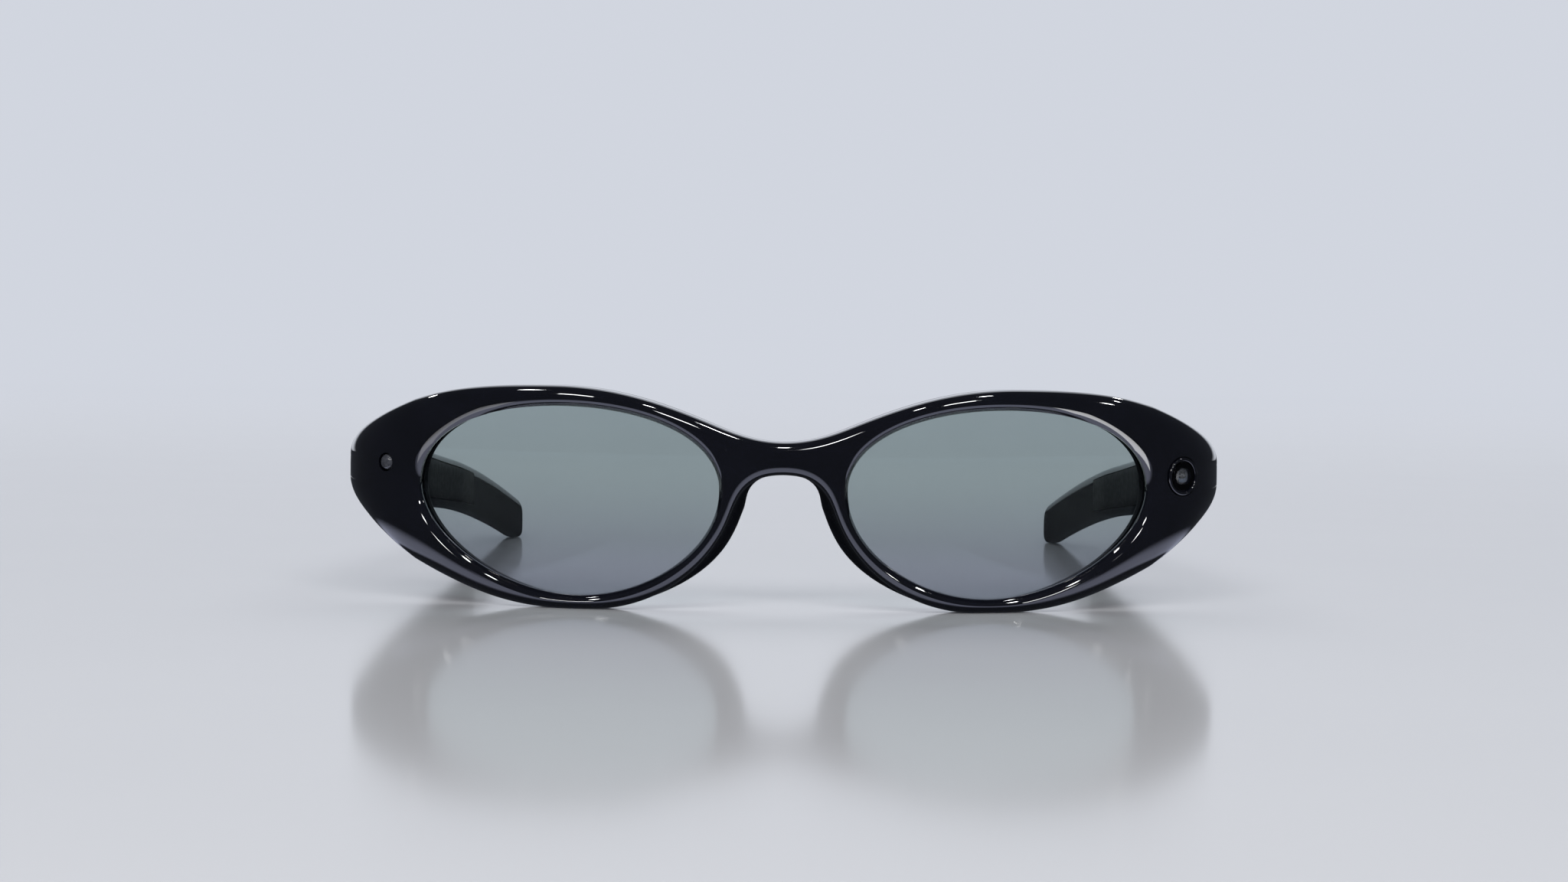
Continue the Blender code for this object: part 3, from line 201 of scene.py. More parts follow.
# %% Piece helpers
SHARP_ANGLE = math.radians(35)
FINISH = {}


def combined(operation, mesh, tools):
    """The mesh after a Boolean operation with each of some closed meshes."""
    objects = [bpy.data.objects.new("work", each) for each in (mesh, *tools)]
    for obj in objects:
        scene.collection.objects.link(obj)
    for tool in objects[1:]:
        boolean = objects[0].modifiers.new("boolean", "BOOLEAN")
        boolean.operation, boolean.solver, boolean.object = operation, "MANIFOLD", tool
    shaped = objects[0].evaluated_get(bpy.context.evaluated_depsgraph_get())
    made = bpy.data.meshes.new_from_object(shaped)
    for obj in objects:
        bpy.data.objects.remove(obj)
    return made


def cut(mesh, *cutters):
    """The mesh with closed cutters taken out of it."""
    return combined("DIFFERENCE", mesh, cutters)


def united(mesh, *others):
    """One mesh from several closed ones."""
    return combined("UNION", mesh, others)


def make_piece(name, mesh, body, finish, node):
    """An object of this mesh in place of a node. It rides on a body, if one is named, and wears a finish."""
    piece = bpy.data.objects.new(name, mesh)
    scene.collection.objects.link(piece)
    mesh.name = name
    mesh.materials.clear()
    mesh.materials.append(FINISH[finish])
    mesh.shade_smooth()
    mesh.set_sharp_from_angle(angle=SHARP_ANGLE)
    if body:
        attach(piece, body)
    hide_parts(node)
    print(name, len(mesh.polygons), "faces")
    return piece


print("edges over", round(math.degrees(SHARP_ANGLE)), "degrees stay sharp")

# %% [markdown]
# ## Building a finish
#
# Polished acetate isn't one flat black: it has a faint cloud in its depth, a polish that varies, and
# dust. Each finish is a Principled shader whose colour, roughness and bump come from noise on the
# object's own coordinates, in metres, so a pattern keeps its size on every piece. This class adds a
# node and its links in one short call, because the bare calls are long.

# %% Finish helpers
class Finish:
    """A material under construction: its node tree, its shader and short calls to add nodes."""

    def __init__(self, name):
        self.material = bpy.data.materials.new(name)
        self.material.use_nodes = True
        self.tree = self.material.node_tree
        self.shader = self.tree.nodes["Principled BSDF"]
        self.coordinates = self.add("ShaderNodeTexCoord").outputs["Object"]

    def add(self, kind, **settings):
        """A new node with these settings."""
        node = self.tree.nodes.new(kind)
        for key, value in settings.items():
            setattr(node, key, value)
        return node

    def link(self, source, target):
        """A link from one node's output to another's input."""
        self.tree.links.new(source, target)

    def feed(self, sockets, values):
        """Links each socket to its value if that is a node's output, and otherwise sets it."""
        for socket, value in zip(sockets, values):
            if isinstance(value, bpy.types.NodeSocket):
                self.link(value, socket)
            else:
                socket.default_value = value

    def set(self, **values):
        """Sets the shader's own sockets, such as coat_weight for Coat Weight."""
        for key, value in values.items():
            self.shader.inputs[key.replace("_", " ").title().replace("Ior", "IOR")].default_value = value

    def texture(self, kind, sizes):
        """A texture on the object's coordinates, each of them divided by a size."""
        mapping, texture = self.add("ShaderNodeMapping"), self.add(kind)
        mapping.inputs["Scale"].default_value = [1 / size for size in sizes]
        texture.inputs["Scale"].default_value = 1.0
        self.link(self.coordinates, mapping.inputs["Vector"])
        self.link(mapping.outputs["Vector"], texture.inputs["Vector"])
        return texture

    def noise(self, size, detail=3.0, stretch=(1, 1, 1)):
        """Noise whose features are about this size, in metres, longer where stretch is larger."""
        texture = self.texture("ShaderNodeTexNoise", [size * s for s in stretch])
        texture.inputs["Detail"].default_value = detail
        return texture.outputs["Fac"]

    def specks(self, spacing, radius, share):
        """1 inside small round specks: a share of the cells of a Voronoi pattern hold one."""
        cells = self.texture("ShaderNodeTexVoronoi", [spacing] * 3)
        near = self.math("LESS_THAN", cells.outputs["Distance"], radius / spacing)
        split = self.add("ShaderNodeSeparateColor")
        self.link(cells.outputs["Color"], split.inputs["Color"])
        chosen = self.math("LESS_THAN", split.outputs["Red"], share)
        return self.math("MULTIPLY", near, chosen)

    def along(self, axis):
        """One of the object's coordinates: X, Y or Z."""
        split = self.add("ShaderNodeSeparateXYZ")
        self.link(self.coordinates, split.inputs["Vector"])
        return split.outputs[axis]

    def math(self, operation, *values):
        """A sum, product or comparison of numbers."""
        node = self.add("ShaderNodeMath", operation=operation)
        self.feed(node.inputs, values)
        return node.outputs["Value"]

    def rest_of(self, share):
        """What a share leaves of 1."""
        return self.math("SUBTRACT", 1.0, share)

    def vector(self, operation, *values):
        """A vector sum, difference or product, or a number such as the length of a vector."""
        node = self.add("ShaderNodeVectorMath", operation=operation)
        self.feed(node.inputs, values)
        return node.outputs["Value" if operation in ("LENGTH", "DOT_PRODUCT") else "Vector"]

    def distance(self, first, second):
        """Distance between two points: the length of their difference."""
        return self.vector("LENGTH", self.vector("SUBTRACT", first, second))

    def from_axis(self, place):
        """Distance from a frame's Z axis: the length of the cross product of the way there and the axis."""
        away = self.vector("SUBTRACT", self.coordinates, place.translation)
        return self.vector("LENGTH", self.vector("CROSS_PRODUCT", away, place.col[2].to_3d()))

    def ramp(self, source, low, high, start=0.3, end=0.7):
        """Colours from low to high as the source goes from start to end."""
        node = self.add("ShaderNodeValToRGB")
        for element, place, colour in zip(node.color_ramp.elements, (start, end), (low, high)):
            element.position, element.color = place, (*colour, 1)
        self.link(source, node.inputs["Fac"])
        return node.outputs["Color"]

    def span(self, source, low, high, start=0.3, end=0.7, curve="LINEAR"):
        """Numbers from low to high as the source goes from start to end."""
        node = self.add("ShaderNodeMapRange", interpolation_type=curve)
        sockets = [node.inputs[key] for key in ("Value", "From Min", "From Max", "To Min", "To Max")]
        self.feed(sockets, (source, start, end, low, high))
        return node.outputs["Result"]

    def rise(self, source, start, end):
        """0 before start, 1 after end, and an S-shaped rise between."""
        return self.span(source, 0.0, 1.0, start, end, "SMOOTHSTEP")

    def mix(self, share, first, second):
        """A colour that goes from first to second as the share goes from 0 to 1."""
        node = self.add("ShaderNodeMix", data_type="RGBA")
        colours = [(*c, 1) if isinstance(c, tuple) else c for c in (first, second)]
        self.feed((node.inputs["Factor"], node.inputs[6], node.inputs[7]), (share, *colours))
        return node.outputs[2]

    def either(self, share, first, second):
        """A shader that goes from first to second as the share goes from 0 to 1."""
        node = self.add("ShaderNodeMixShader")
        self.feed(node.inputs, (share, first, second))
        return node.outputs["Shader"]

    def glow(self, colour):
        """A plain glow of this colour."""
        node = self.add("ShaderNodeEmission")
        node.inputs["Color"].default_value = (*colour, 1)
        return node.outputs["Emission"]

    def show(self, shader):
        """Makes this shader the one that the surface shows."""
        self.link(shader, self.tree.nodes["Material Output"].inputs["Surface"])

    def wear(self, colour, roughness, bump=None, depth=0.02 * mm, strength=0.2):
        """Links colour, roughness and bump to the shader, and returns the material."""
        self.link(colour, self.shader.inputs["Base Color"])
        self.link(roughness, self.shader.inputs["Roughness"])
        if bump:
            node = self.add("ShaderNodeBump")
            self.feed((node.inputs["Distance"], node.inputs["Strength"]), (depth, strength))
            self.link(bump, node.inputs["Height"])
            self.link(node.outputs["Normal"], self.shader.inputs["Normal"])
        return self.material


print("calls of a finish:", *(key for key in vars(Finish) if key[0] != "_"))

# %% [markdown]
# ## Recipes for the finishes
#
# The glasses are made of few stuffs: acetate, moulded plastic, metal, film and glass. Each recipe is
# a function, because a stuff comes in more than one colour or polish. A photograph of each stuff
# could be wrapped round the pieces instead, but it would repeat and blur, and it would hold one light.

# %% Plastic and metal
DUST = (0.16, 0.16, 0.18)
# Near black: the print on the camera's cover glass, and painted shade in the camera's pupil.
INK_AND_PUPIL_SHADE = (0.001, 0.001, 0.002)


def acetate(name, coat, level, rough):
    """Black acetate with a blue cast and a little dust: polished, or tumbled where level is low."""
    f = Finish(name)
    f.set(coat_weight=coat, coat_roughness=0.02, coat_ior=1.8, specular_ior_level=level)
    cloud = f.ramp(f.noise(9 * mm), (0.0014, 0.0016, 0.0034), (0.0028, 0.0031, 0.0062))
    dust = f.specks(2.4 * mm, 0.04 * mm, 0.08)
    polish = f.span(f.noise(3 * mm), *rough)
    polish = f.math("ADD", polish, f.math("MULTIPLY", dust, 0.5))
    return f.wear(f.mix(dust, cloud, DUST), polish, f.noise(1.6 * mm, 2), 0.004 * mm, 0.12)


def satin_black():
    """Moulded black plastic with a fine spark-eroded grain."""
    f = Finish("satin_black")
    f.set(specular_ior_level=0.15)
    colour = f.ramp(f.noise(4 * mm), (0.0045, 0.0046, 0.006), (0.008, 0.008, 0.010))
    rough = f.span(f.noise(1.0 * mm), 0.40, 0.52)
    return f.wear(colour, rough, f.noise(0.14 * mm, 2), 0.02 * mm, 0.35)


def brushed(name, low, high, rough=(0.2, 0.36)):
    """Metal with fine brush lines along X and Y, and a colour between low and high."""
    f = Finish(name)
    f.set(metallic=1.0)
    lines = f.noise(0.12 * mm, 3, (14, 14, 1))
    colour = f.ramp(f.noise(0.8 * mm), low, high)
    return f.wear(colour, f.span(lines, *rough), lines, 0.004 * mm, 0.3)


def moulded(name, low, high, rough, size=2 * mm, metallic=0.0):
    """Plain moulded or filmed stuff that clouds between two colours."""
    f = Finish(name)
    f.set(metallic=metallic)
    colour = f.ramp(f.noise(size), low, high)
    return f.wear(colour, f.span(f.noise(size / 3), *rough), f.noise(0.2 * mm), 0.01 * mm, 0.2)


FINISH.update(
    gloss_black=acetate("gloss_black", 1.0, 0.8, (0.025, 0.06)),
    temple_black=acetate("temple_black", 0.0, 0.2, (0.06, 0.10)),
    rear_black=acetate("rear_black", 0.0, 0.12, (0.24, 0.34)),
    satin_black=satin_black(),
    steel=brushed("steel", (0.50, 0.50, 0.52), (0.64, 0.64, 0.66)),
    gold=brushed("gold", (0.76, 0.55, 0.22), (0.88, 0.67, 0.32), (0.15, 0.28)),
    circuit_board=moulded("circuit_board", (0.012, 0.09, 0.05), (0.02, 0.13, 0.075), (0.35, 0.5)),
    flex=moulded("flex", (0.40, 0.18, 0.04), (0.50, 0.25, 0.06), (0.3, 0.45)),
    battery=moulded("battery", (0.44, 0.45, 0.47), (0.55, 0.56, 0.58), (0.3, 0.45), 3 * mm, 0.6),
    dark_plastic=moulded("dark_plastic", (0.02, 0.02, 0.024), (0.04, 0.04, 0.045), (0.4, 0.6)),
)
print("plastics and metals:", *FINISH)

# %% [markdown]
# ## Glass and coated parts
#
# The lenses are tinted resin and throw a pale shadow. Their tint is a little darker at the foot:
# painted shade, as of the darker table seen through them. Real glass would leave the shadow to
# slow, noisy caustics. So shadow rays meet a plain transparent filter here, and all other rays the
# clear resin. What the model carries over gets its finish in this cell too.

# %% Glass, and finishes of the nodes
# The lower tint and its rise are painted shade: the lenses darken towards their foot.
LENS_TINT, SHADED_FOOT_TINT, FOOT_SHADE_RISE = (0.395, 0.465, 0.46), (0.30, 0.325, 0.365), (4 * mm, 24 * mm)
CLEAR, SPECK = (0.92, 0.94, 0.97), (0.9, 0.9, 0.9)
TINT_CLOUD, TINT_LOSS = 14 * mm, 0.985


def coated(name, low, high, place=None, ring=(0.0, 0.0)):
    """A clouded body under a clear glossy skin; painted shade makes it black within the ring's radii of a
    frame's axis.
    """
    f = Finish(name)
    f.set(coat_weight=1.0, coat_roughness=0.03, coat_ior=1.8)
    colour = f.ramp(f.noise(0.5 * mm), low, high)
    if place:
        # Painted shade: black within the ring round the axis, as in a dark opening.
        colour = f.mix(f.rise(f.from_axis(place), *ring), INK_AND_PUPIL_SHADE, colour)
    return f.wear(colour, f.span(f.noise(0.3 * mm), 0.18, 0.3))


def see_through(name, tint, marks=None, mark_colour=SPECK, foot_shade_tint=None):
    """Clear tinted resin or glass with marks, and a darker tint at the foot, painted shade, if one is
    given.

    Shadow rays pass it as a filter of the tint's square root, once for each of its two faces."""
    f = Finish(name)
    f.set(roughness=0.0, transmission_weight=1.0)
    colour = f.ramp(f.noise(TINT_CLOUD), tuple(TINT_LOSS * c for c in tint), tint)
    if foot_shade_tint:
        # Painted shade: a darker tint towards the foot.
        colour = f.mix(f.rise(f.along("Z"), *FOOT_SHADE_RISE), foot_shade_tint, colour)
    if marks:
        colour = f.mix(marks(f), colour, mark_colour)
    f.link(colour, f.shader.inputs["Base Color"])
    pane = f.add("ShaderNodeBsdfTransparent")
    pane.inputs["Color"].default_value = (*(math.sqrt(c) for c in tint), 1)
    shadow = f.add("ShaderNodeLightPath").outputs["Is Shadow Ray"]
    f.show(f.either(shadow, f.shader.outputs["BSDF"], pane.outputs["BSDF"]))
    return f.material


def lens_dust(f):
    """Sparse specks on a lens."""
    return f.specks(4.5 * mm, 0.06 * mm, 0.35)


FINISH["lens_tint"] = see_through("lens_tint", LENS_TINT, lens_dust, foot_shade_tint=SHADED_FOOT_TINT)
FINISH["camera_glass"] = see_through("camera_glass", CLEAR)
FINISH["light_pipe"] = coated("light_pipe", (0.035, 0.037, 0.045), (0.06, 0.063, 0.075))
slots = {row["node"]: row["material_slot"] for row in frame["record"]["subparts"]}
for node, obj in frame["nodes"].items():
    obj.data.materials.clear()
    obj.data.materials.append(FINISH[slots[node]])
print("finishes:", len(FINISH))

# %% [markdown]
# ## The wrapped front
#
# The front is drawn flat, as distance u along the wrap and height z, and then bent: the plan curve
# is a wide arc, a tight corner and the temple's slight bow, which share tangents. A depth n is
# measured out of that curved sheet. The face is also crowned from top to bottom.

# %% Sizes of the front
FRONT_WIDTH, BASE_RADIUS, CORNER_RADIUS, TEMPLE_BOW = 150 * mm, 180 * mm, 18 * mm, 560 * mm
BUTT_ANGLE = math.radians(86)
CROWN_RADIUS, CROWN_HEIGHT = 170 * mm, 22 * mm
LENS_GAP, LENS_WIDTH, LENS_HEIGHT = 21.4 * mm, 52.2 * mm, 31.5 * mm
LENS_THICKNESS, LENS_OVERLAP = 1.8 * mm, 0.6 * mm
RIM_ABOVE, RIM_BELOW, REST_FLAT = 3.4 * mm, 2.3 * mm, 4.0 * mm
RIM_DEPTH, END_DEPTH, SHELL_SPLIT = 5.6 * mm, 8.0 * mm, 4.0 * mm
RIM_ROUND, END_ROUND, END_ROUND_DEPTH = 1.7 * mm, 6.5 * mm, 3.4 * mm
BRIDGE_UNDERSIDE, BRIDGE_HEIGHT = 22.9 * mm, 5.4 * mm
ROOT_HEIGHT, ROOT_HALF = 22.6 * mm, 6.0 * mm
BUTT_GAP, TAIL_LENGTH = 0.3 * mm, 9 * mm
FIT, SEAM, PARTING = 0.2 * mm, 0.1 * mm, 0.03 * mm

CORNER_ANGLE = math.asin((FRONT_WIDTH / 2 - CORNER_RADIUS) / (BASE_RADIUS - CORNER_RADIUS))
CORNER_START = BASE_RADIUS * CORNER_ANGLE
CORNER_LENGTH = CORNER_RADIUS * (math.pi / 2 - CORNER_ANGLE)
PLAN_ARCS = ((BASE_RADIUS, CORNER_START), (CORNER_RADIUS, CORNER_LENGTH), (TEMPLE_BOW, math.inf))
BUTT_START = CORNER_START + CORNER_RADIUS * (BUTT_ANGLE - CORNER_ANGLE)
LENS_IN = LENS_GAP / 2
LENS_OUT = LENS_IN + LENS_WIDTH
LENS_TOP = RIM_BELOW + LENS_HEIGHT
TAIL = BUTT_START + TAIL_LENGTH


def plan(u):
    """x, y and heading at distance u from the bridge along the plan curve: tangent arcs in a row."""
    u = np.asarray(u, float)
    x, y, heading = np.zeros_like(u), np.zeros_like(u), np.zeros_like(u)
    start = 0.0
    for radius, length in PLAN_ARCS:
        turned = heading + np.clip(u - start, 0, length) / radius
        x = x + radius * (np.sin(turned) - np.sin(heading))
        y = y + radius * (np.cos(heading) - np.cos(turned))
        heading, start = turned, start + length
    return x, y, heading


BUTT_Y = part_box("left_temple_shell")[0].y - BUTT_GAP
SHIFT_Y = BUTT_Y - float(plan(BUTT_START)[1])


def wrap(u, z, n, side=1):
    """Point at u along the plan curve and height z, pushed n outwards: x + n sin h, y - n cos h, z."""
    u, z, n = np.broadcast_arrays(u, z, n)
    x, y, heading = plan(u)
    return np.stack([side * (x + n * np.sin(heading)), y - n * np.cos(heading) + SHIFT_Y, z], -1)


def crowned(u, z, n, side=1):
    """The same, on the crowned front: n falls by the square of the height over twice the crown's radius."""
    return wrap(u, z, n - (z - CROWN_HEIGHT) ** 2 / (2 * CROWN_RADIUS), side)


print("joint face at y", round(BUTT_Y, 5), "front at", round(FRONT_Y, 5))

# %% [markdown]
# ## Outline
#
# The outline is the front's silhouette, unrolled: a cat-eye sweep from the bridge over the brow to
# the end piece and back under the lens. A few anchors with headings carry it, cubics join them, and
# a light Gaussian blur takes the kinks out of its curvature, which a polished rim would show.

# %% Outline
NASAL_SHARE, CREST_SHARE, OUTER_SHARE, FOOT_SHARE = 0.57, 0.52, 0.58, 0.465
OUTLINE = np.array([
    (0, BRIDGE_UNDERSIDE + BRIDGE_HEIGHT, 0),
    (1.08 * LENS_IN, BRIDGE_UNDERSIDE + BRIDGE_HEIGHT + 2.7 * mm, 22),
    (LENS_IN + 0.55 * LENS_WIDTH, LENS_TOP + RIM_ABOVE, 0),
    (LENS_OUT + 3.1 * mm, LENS_TOP + 0.3 * mm, -17),
    (BUTT_START + 1.5 * mm, ROOT_HEIGHT + ROOT_HALF, -8),
    (TAIL, ROOT_HEIGHT + 0.5 * ROOT_HALF, -20),
    (TAIL, ROOT_HEIGHT - 0.5 * ROOT_HALF, 200),
    (BUTT_START + 1.5 * mm, ROOT_HEIGHT - ROOT_HALF, 190),
    (LENS_OUT - 0.9 * mm, RIM_BELOW + 3.6 * mm, 205),
    (LENS_IN + FOOT_SHARE * LENS_WIDTH + REST_FLAT / 2, 0, 180),
    (LENS_IN + FOOT_SHARE * LENS_WIDTH - REST_FLAT / 2, 0, 180),
    (LENS_IN - 0.7 * mm, RIM_BELOW + 11.2 * mm, 118),
    (0.52 * LENS_IN, BRIDGE_UNDERSIDE - 1.5 * mm, 143),
    (0, BRIDGE_UNDERSIDE, 180),
])
HANDLE, CUBIC_STEPS = 0.36, 80
STATION_STEP, OUTLINE_BLUR = 0.34 * mm, 0.8 * mm


def cubic(first, leave, arrive, last, t):
    """Bezier cubic from first to last, at share t of the way.

    An end's weight is the cube of its share, t or 1 - t, and a handle's is three times the square of
    its own end's share times the other share."""
    return (1 - t) ** 3 * first + 3 * t * (1 - t) ** 2 * leave + 3 * t**2 * (1 - t) * arrive + t**3 * last


def blurred(loop, samples):
    """A closed loop of values, blurred by a Gaussian that is this many samples wide."""
    waves = np.fft.fftfreq(len(loop))
    gain = np.exp(-2 * (math.pi * samples * waves) ** 2)
    return np.fft.ifft(np.fft.fft(loop, axis=0) * gain[:, None], axis=0).real


def outline():
    """Evenly spaced points of one half, from bridge top to underside, and their outward directions."""
    first, last = OUTLINE[:-1, :2], OUTLINE[1:, :2]
    turn = np.radians(OUTLINE[:, 2])
    way = np.stack([np.cos(turn), np.sin(turn)], -1)
    reach = HANDLE * np.linalg.norm(last - first, axis=1)[:, None]
    blunt = (first[:, :1] == TAIL) & (last[:, :1] == TAIL)
    leave = np.where(blunt, first + (last - first) / 3, first + reach * way[:-1])
    arrive = np.where(blunt, last - (last - first) / 3, last - reach * way[1:])
    t = np.linspace(0, 1, CUBIC_STEPS, endpoint=False)[None, :, None]
    run = cubic(first[:, None], leave[:, None], arrive[:, None], last[:, None], t).reshape(-1, 2)
    run = np.concatenate([run, OUTLINE[-1:, :2]])
    along = np.append(0, np.cumsum(np.linalg.norm(np.diff(run, axis=0), axis=1)))
    even = np.linspace(0, along[-1], int(along[-1] / STATION_STEP))
    half = np.stack([np.interp(even, along, run[:, k]) for k in (0, 1)], -1)
    loop = np.concatenate([half, half[-2:0:-1] * (-1, 1)])
    loop = blurred(loop, OUTLINE_BLUR / STATION_STEP)
    run = np.roll(loop, -1, 0) - np.roll(loop, 1, 0)
    out = np.stack([-run[:, 1], run[:, 0]], -1) / np.linalg.norm(run, axis=1)[:, None]
    points, out = loop[:len(half)], out[:len(half)]
    points[[0, -1], 0] = 0
    return points, out


print("outline:", len(outline()[0]), "points from", len(OUTLINE), "anchors")

# %% [markdown]
# ## Lens opening
#
# The opening is an oval of four unlike quarters, fuller over the brow than below. It could be drawn
# by hand as a curve. Four cubics that share upright or level tangents give the same shape from four
# points and four numbers, and a station from 0 to 4 then names any place on it.

# %% Lens opening
LENS_FULLNESS = (0.59, 0.61, 0.48, 0.53)
STATION_NUDGE = 1e-4


def opening(stations):
    """Points of the lens opening: a cubic for each quarter, from nasal station 0 by top, outer and foot."""
    corners = np.array([
        (LENS_IN, RIM_BELOW + NASAL_SHARE * LENS_HEIGHT),
        (LENS_IN + CREST_SHARE * LENS_WIDTH, LENS_TOP),
        (LENS_OUT, RIM_BELOW + OUTER_SHARE * LENS_HEIGHT),
        (LENS_IN + FOOT_SHARE * LENS_WIDTH, RIM_BELOW),
    ])
    stations = np.asarray(stations) % 4
    quarter = np.minimum(stations.astype(int), 3)
    first, last = corners[quarter], corners[(quarter + 1) % 4]
    reach = np.array(LENS_FULLNESS)[quarter][:, None] * (last - first)
    upright = (quarter % 2 == 0)[:, None]
    leave = first + np.where(upright, reach * (0, 1), reach * (1, 0))
    arrive = last - np.where(upright, reach * (1, 0), reach * (0, 1))
    return cubic(first, leave, arrive, last, (stations - quarter)[:, None])


def opening_out(stations):
    """Unit directions out of the lens opening at these stations."""
    run = opening(stations + STATION_NUDGE) - opening(stations - STATION_NUDGE)
    return np.stack([-run[:, 1], run[:, 0]], -1) / np.linalg.norm(run, axis=1)[:, None]


print("opening:", np.round(np.ptp(opening(np.linspace(0, 4, 99)), axis=0) / mm, 2), "mm")

# %% [markdown]
# ## Stations round the rim
#
# A rim is lofted between two loops, so each point of the outline needs a partner on the opening. The
# nearest one would do on a round rim, but near the bridge many points would share one. So the
# partners are lifted there and evened out. Each station then knows its width, and from that how wide
# its funnel and its rounded edge can be.

# %% Rim stations
FUNNEL_WIDTH, FUNNEL_FLARE, FUNNEL_ROOM = 1.2 * mm, 0.9 * mm, 0.45
FLARE_STATION, FLARE_SPREAD = 1.55, 0.35
ROUND_BLUR, ROUND_ROOM, ROUND_LIMIT, ROOT_ROUND = 3 * mm, 0.85, 0.92, 0.72
END_RISE = LENS_OUT - 4 * mm, LENS_OUT + 6 * mm
LOWER_ROUND = LENS_OUT - 26 * mm, LENS_OUT + 4 * mm
DEPTH_RISE = LENS_OUT - 1 * mm, LENS_OUT + 8 * mm
JOINT_RISE = LENS_OUT + 8 * mm, BUTT_START - 4 * mm
MIDDLE_COUNT, MIDDLE_INSET = 14, 0.05 * mm
FINE_COUNT, BRIDGE_LIFT, LEAST_STEP, MATCH_BLUR = 4000, 0.34, 0.25, 5


def depth_at(u):
    """Depth of the front from face to back. It grows beside the lens, clear of the folded temple's tip."""
    return RIM_DEPTH + (END_DEPTH - RIM_DEPTH) * smooth(u, *DEPTH_RISE)


class Rim:
    """Stations round one half of the front. Each joins a point of the opening to one of the outline."""

    def __init__(self):
        edge, out = outline()
        top, low = edge[0, 1], edge[-1, 1]
        ends = low + RIM_ROUND + MIDDLE_INSET, top - RIM_ROUND - MIDDLE_INSET
        middle = np.stack([np.zeros(MIDDLE_COUNT), np.linspace(*ends, MIDDLE_COUNT)], -1)
        self.edge = np.concatenate([edge, middle])
        self.out = np.concatenate([out, 0 * middle])
        self.out[0], self.out[len(edge) - 1] = (0, 1), (0, -1)
        self.middle = np.arange(len(self.edge)) >= len(edge)
        self.stations = self.matched()
        self.hole, self.hole_out = opening(self.stations), opening_out(self.stations)
        self.width = np.linalg.norm(self.edge - self.hole, axis=1)
        upper_outer = np.exp(-(((self.stations % 4 - FLARE_STATION) / FLARE_SPREAD) ** 2))
        self.funnel = np.minimum(FUNNEL_WIDTH + FUNNEL_FLARE * upper_outer, FUNNEL_ROOM * self.width)
        rounded, room = self.rounding(), self.width - self.funnel
        rounded = np.minimum(rounded, ROUND_ROOM * room)
        self.round = np.minimum(self.evened(rounded), ROUND_LIMIT * room)
        self.round_depth = self.evened(np.minimum(rounded, END_ROUND_DEPTH))

    def rounding(self):
        """Width of the rounded edge: small on the rims, full on the end pieces, less at the root."""
        u, z = self.edge.T
        share = np.maximum(smooth(u, *END_RISE), (z < ROOT_HEIGHT) * smooth(u, *LOWER_ROUND))
        rounded = RIM_ROUND + (END_ROUND - RIM_ROUND) * share
        limit = np.clip(ROOT_ROUND * np.abs(z - ROOT_HEIGHT), RIM_ROUND, END_ROUND)
        return np.where(u > LENS_OUT, np.minimum(rounded, limit), rounded)

    def evened(self, values):
        """The values blurred along the rim, but kept near the joint, where the temple has to meet them."""
        soft = blurred(values[:, None], ROUND_BLUR / STATION_STEP)[:, 0]
        return soft + (values - soft) * smooth(self.edge[:, 0], *JOINT_RISE)

    def matched(self):
        """The opening's station nearest to each point, lifted at the bridge, and evened out."""
        fine = np.linspace(0, 4, FINE_COUNT, endpoint=False)
        lift = BRIDGE_LIFT * np.clip(LENS_IN - self.edge[:, 0], 0, None)
        query = self.edge + np.stack([0 * lift, lift], -1)
        gaps = ((query[:, None] - opening(fine)[None]) ** 2).sum(-1)
        nearest = np.unwrap(fine[gaps.argmin(1)], period=4)
        count = np.arange(len(nearest))
        even = 4 * count / len(nearest)
        least = LEAST_STEP * 4 / len(nearest) * count
        nearest = np.maximum.accumulate(nearest - least) + least
        return blurred((nearest - even)[:, None], MATCH_BLUR)[:, 0] + even

    def from_hole(self, offset):
        """Points this far outside the opening: (stations, offsets, 2)."""
        return self.hole[:, None] + self.hole_out[:, None] * np.atleast_2d(offset)[..., None]

    def from_edge(self, offset):
        """Points this far outside the outline: (stations, offsets, 2)."""
        return self.edge[:, None] + self.out[:, None] * np.atleast_2d(offset)[..., None]


rim = Rim()
print("stations:", len(rim.edge), "least step:", round(float(np.diff(rim.stations).min()), 5))

# %% [markdown]
# ## Shells from sections
#
# One row of the grid is a section through the rim, and one column a line that runs round the whole
# lens. Across the bridge the two halves meet, so the outer columns are left out there, and the mirror
# half closes the shell. A block behind each end piece cuts its joint face flat.

# %% Shell helpers
QUARTERS = (0.25, 0.5, 0.75)
ON_MIDDLE, JOINT_CUT = 1e-8, 0.98


def spread(first, last, shares):
    """Points at shares of the way between two lines: (stations, shares, 2)."""
    return first + (last - first) * np.asarray(shares)[None, :, None]


def columns(points, n):
    """The points of some columns of the section with their depths, as (stations, columns, 3)."""
    return np.concatenate([points, np.broadcast_to(n, points.shape[:2])[..., None]], -1)


def joint_cutter(side):
    """A block behind the joint face of one end piece."""
    place = Matrix.Translation((side * FRONT_WIDTH / 2, BUTT_Y + FRONT_WIDTH / 2, ROOT_HEIGHT))
    return box_mesh((JOINT_CUT * FRONT_WIDTH, FRONT_WIDTH, FRONT_WIDTH), place)


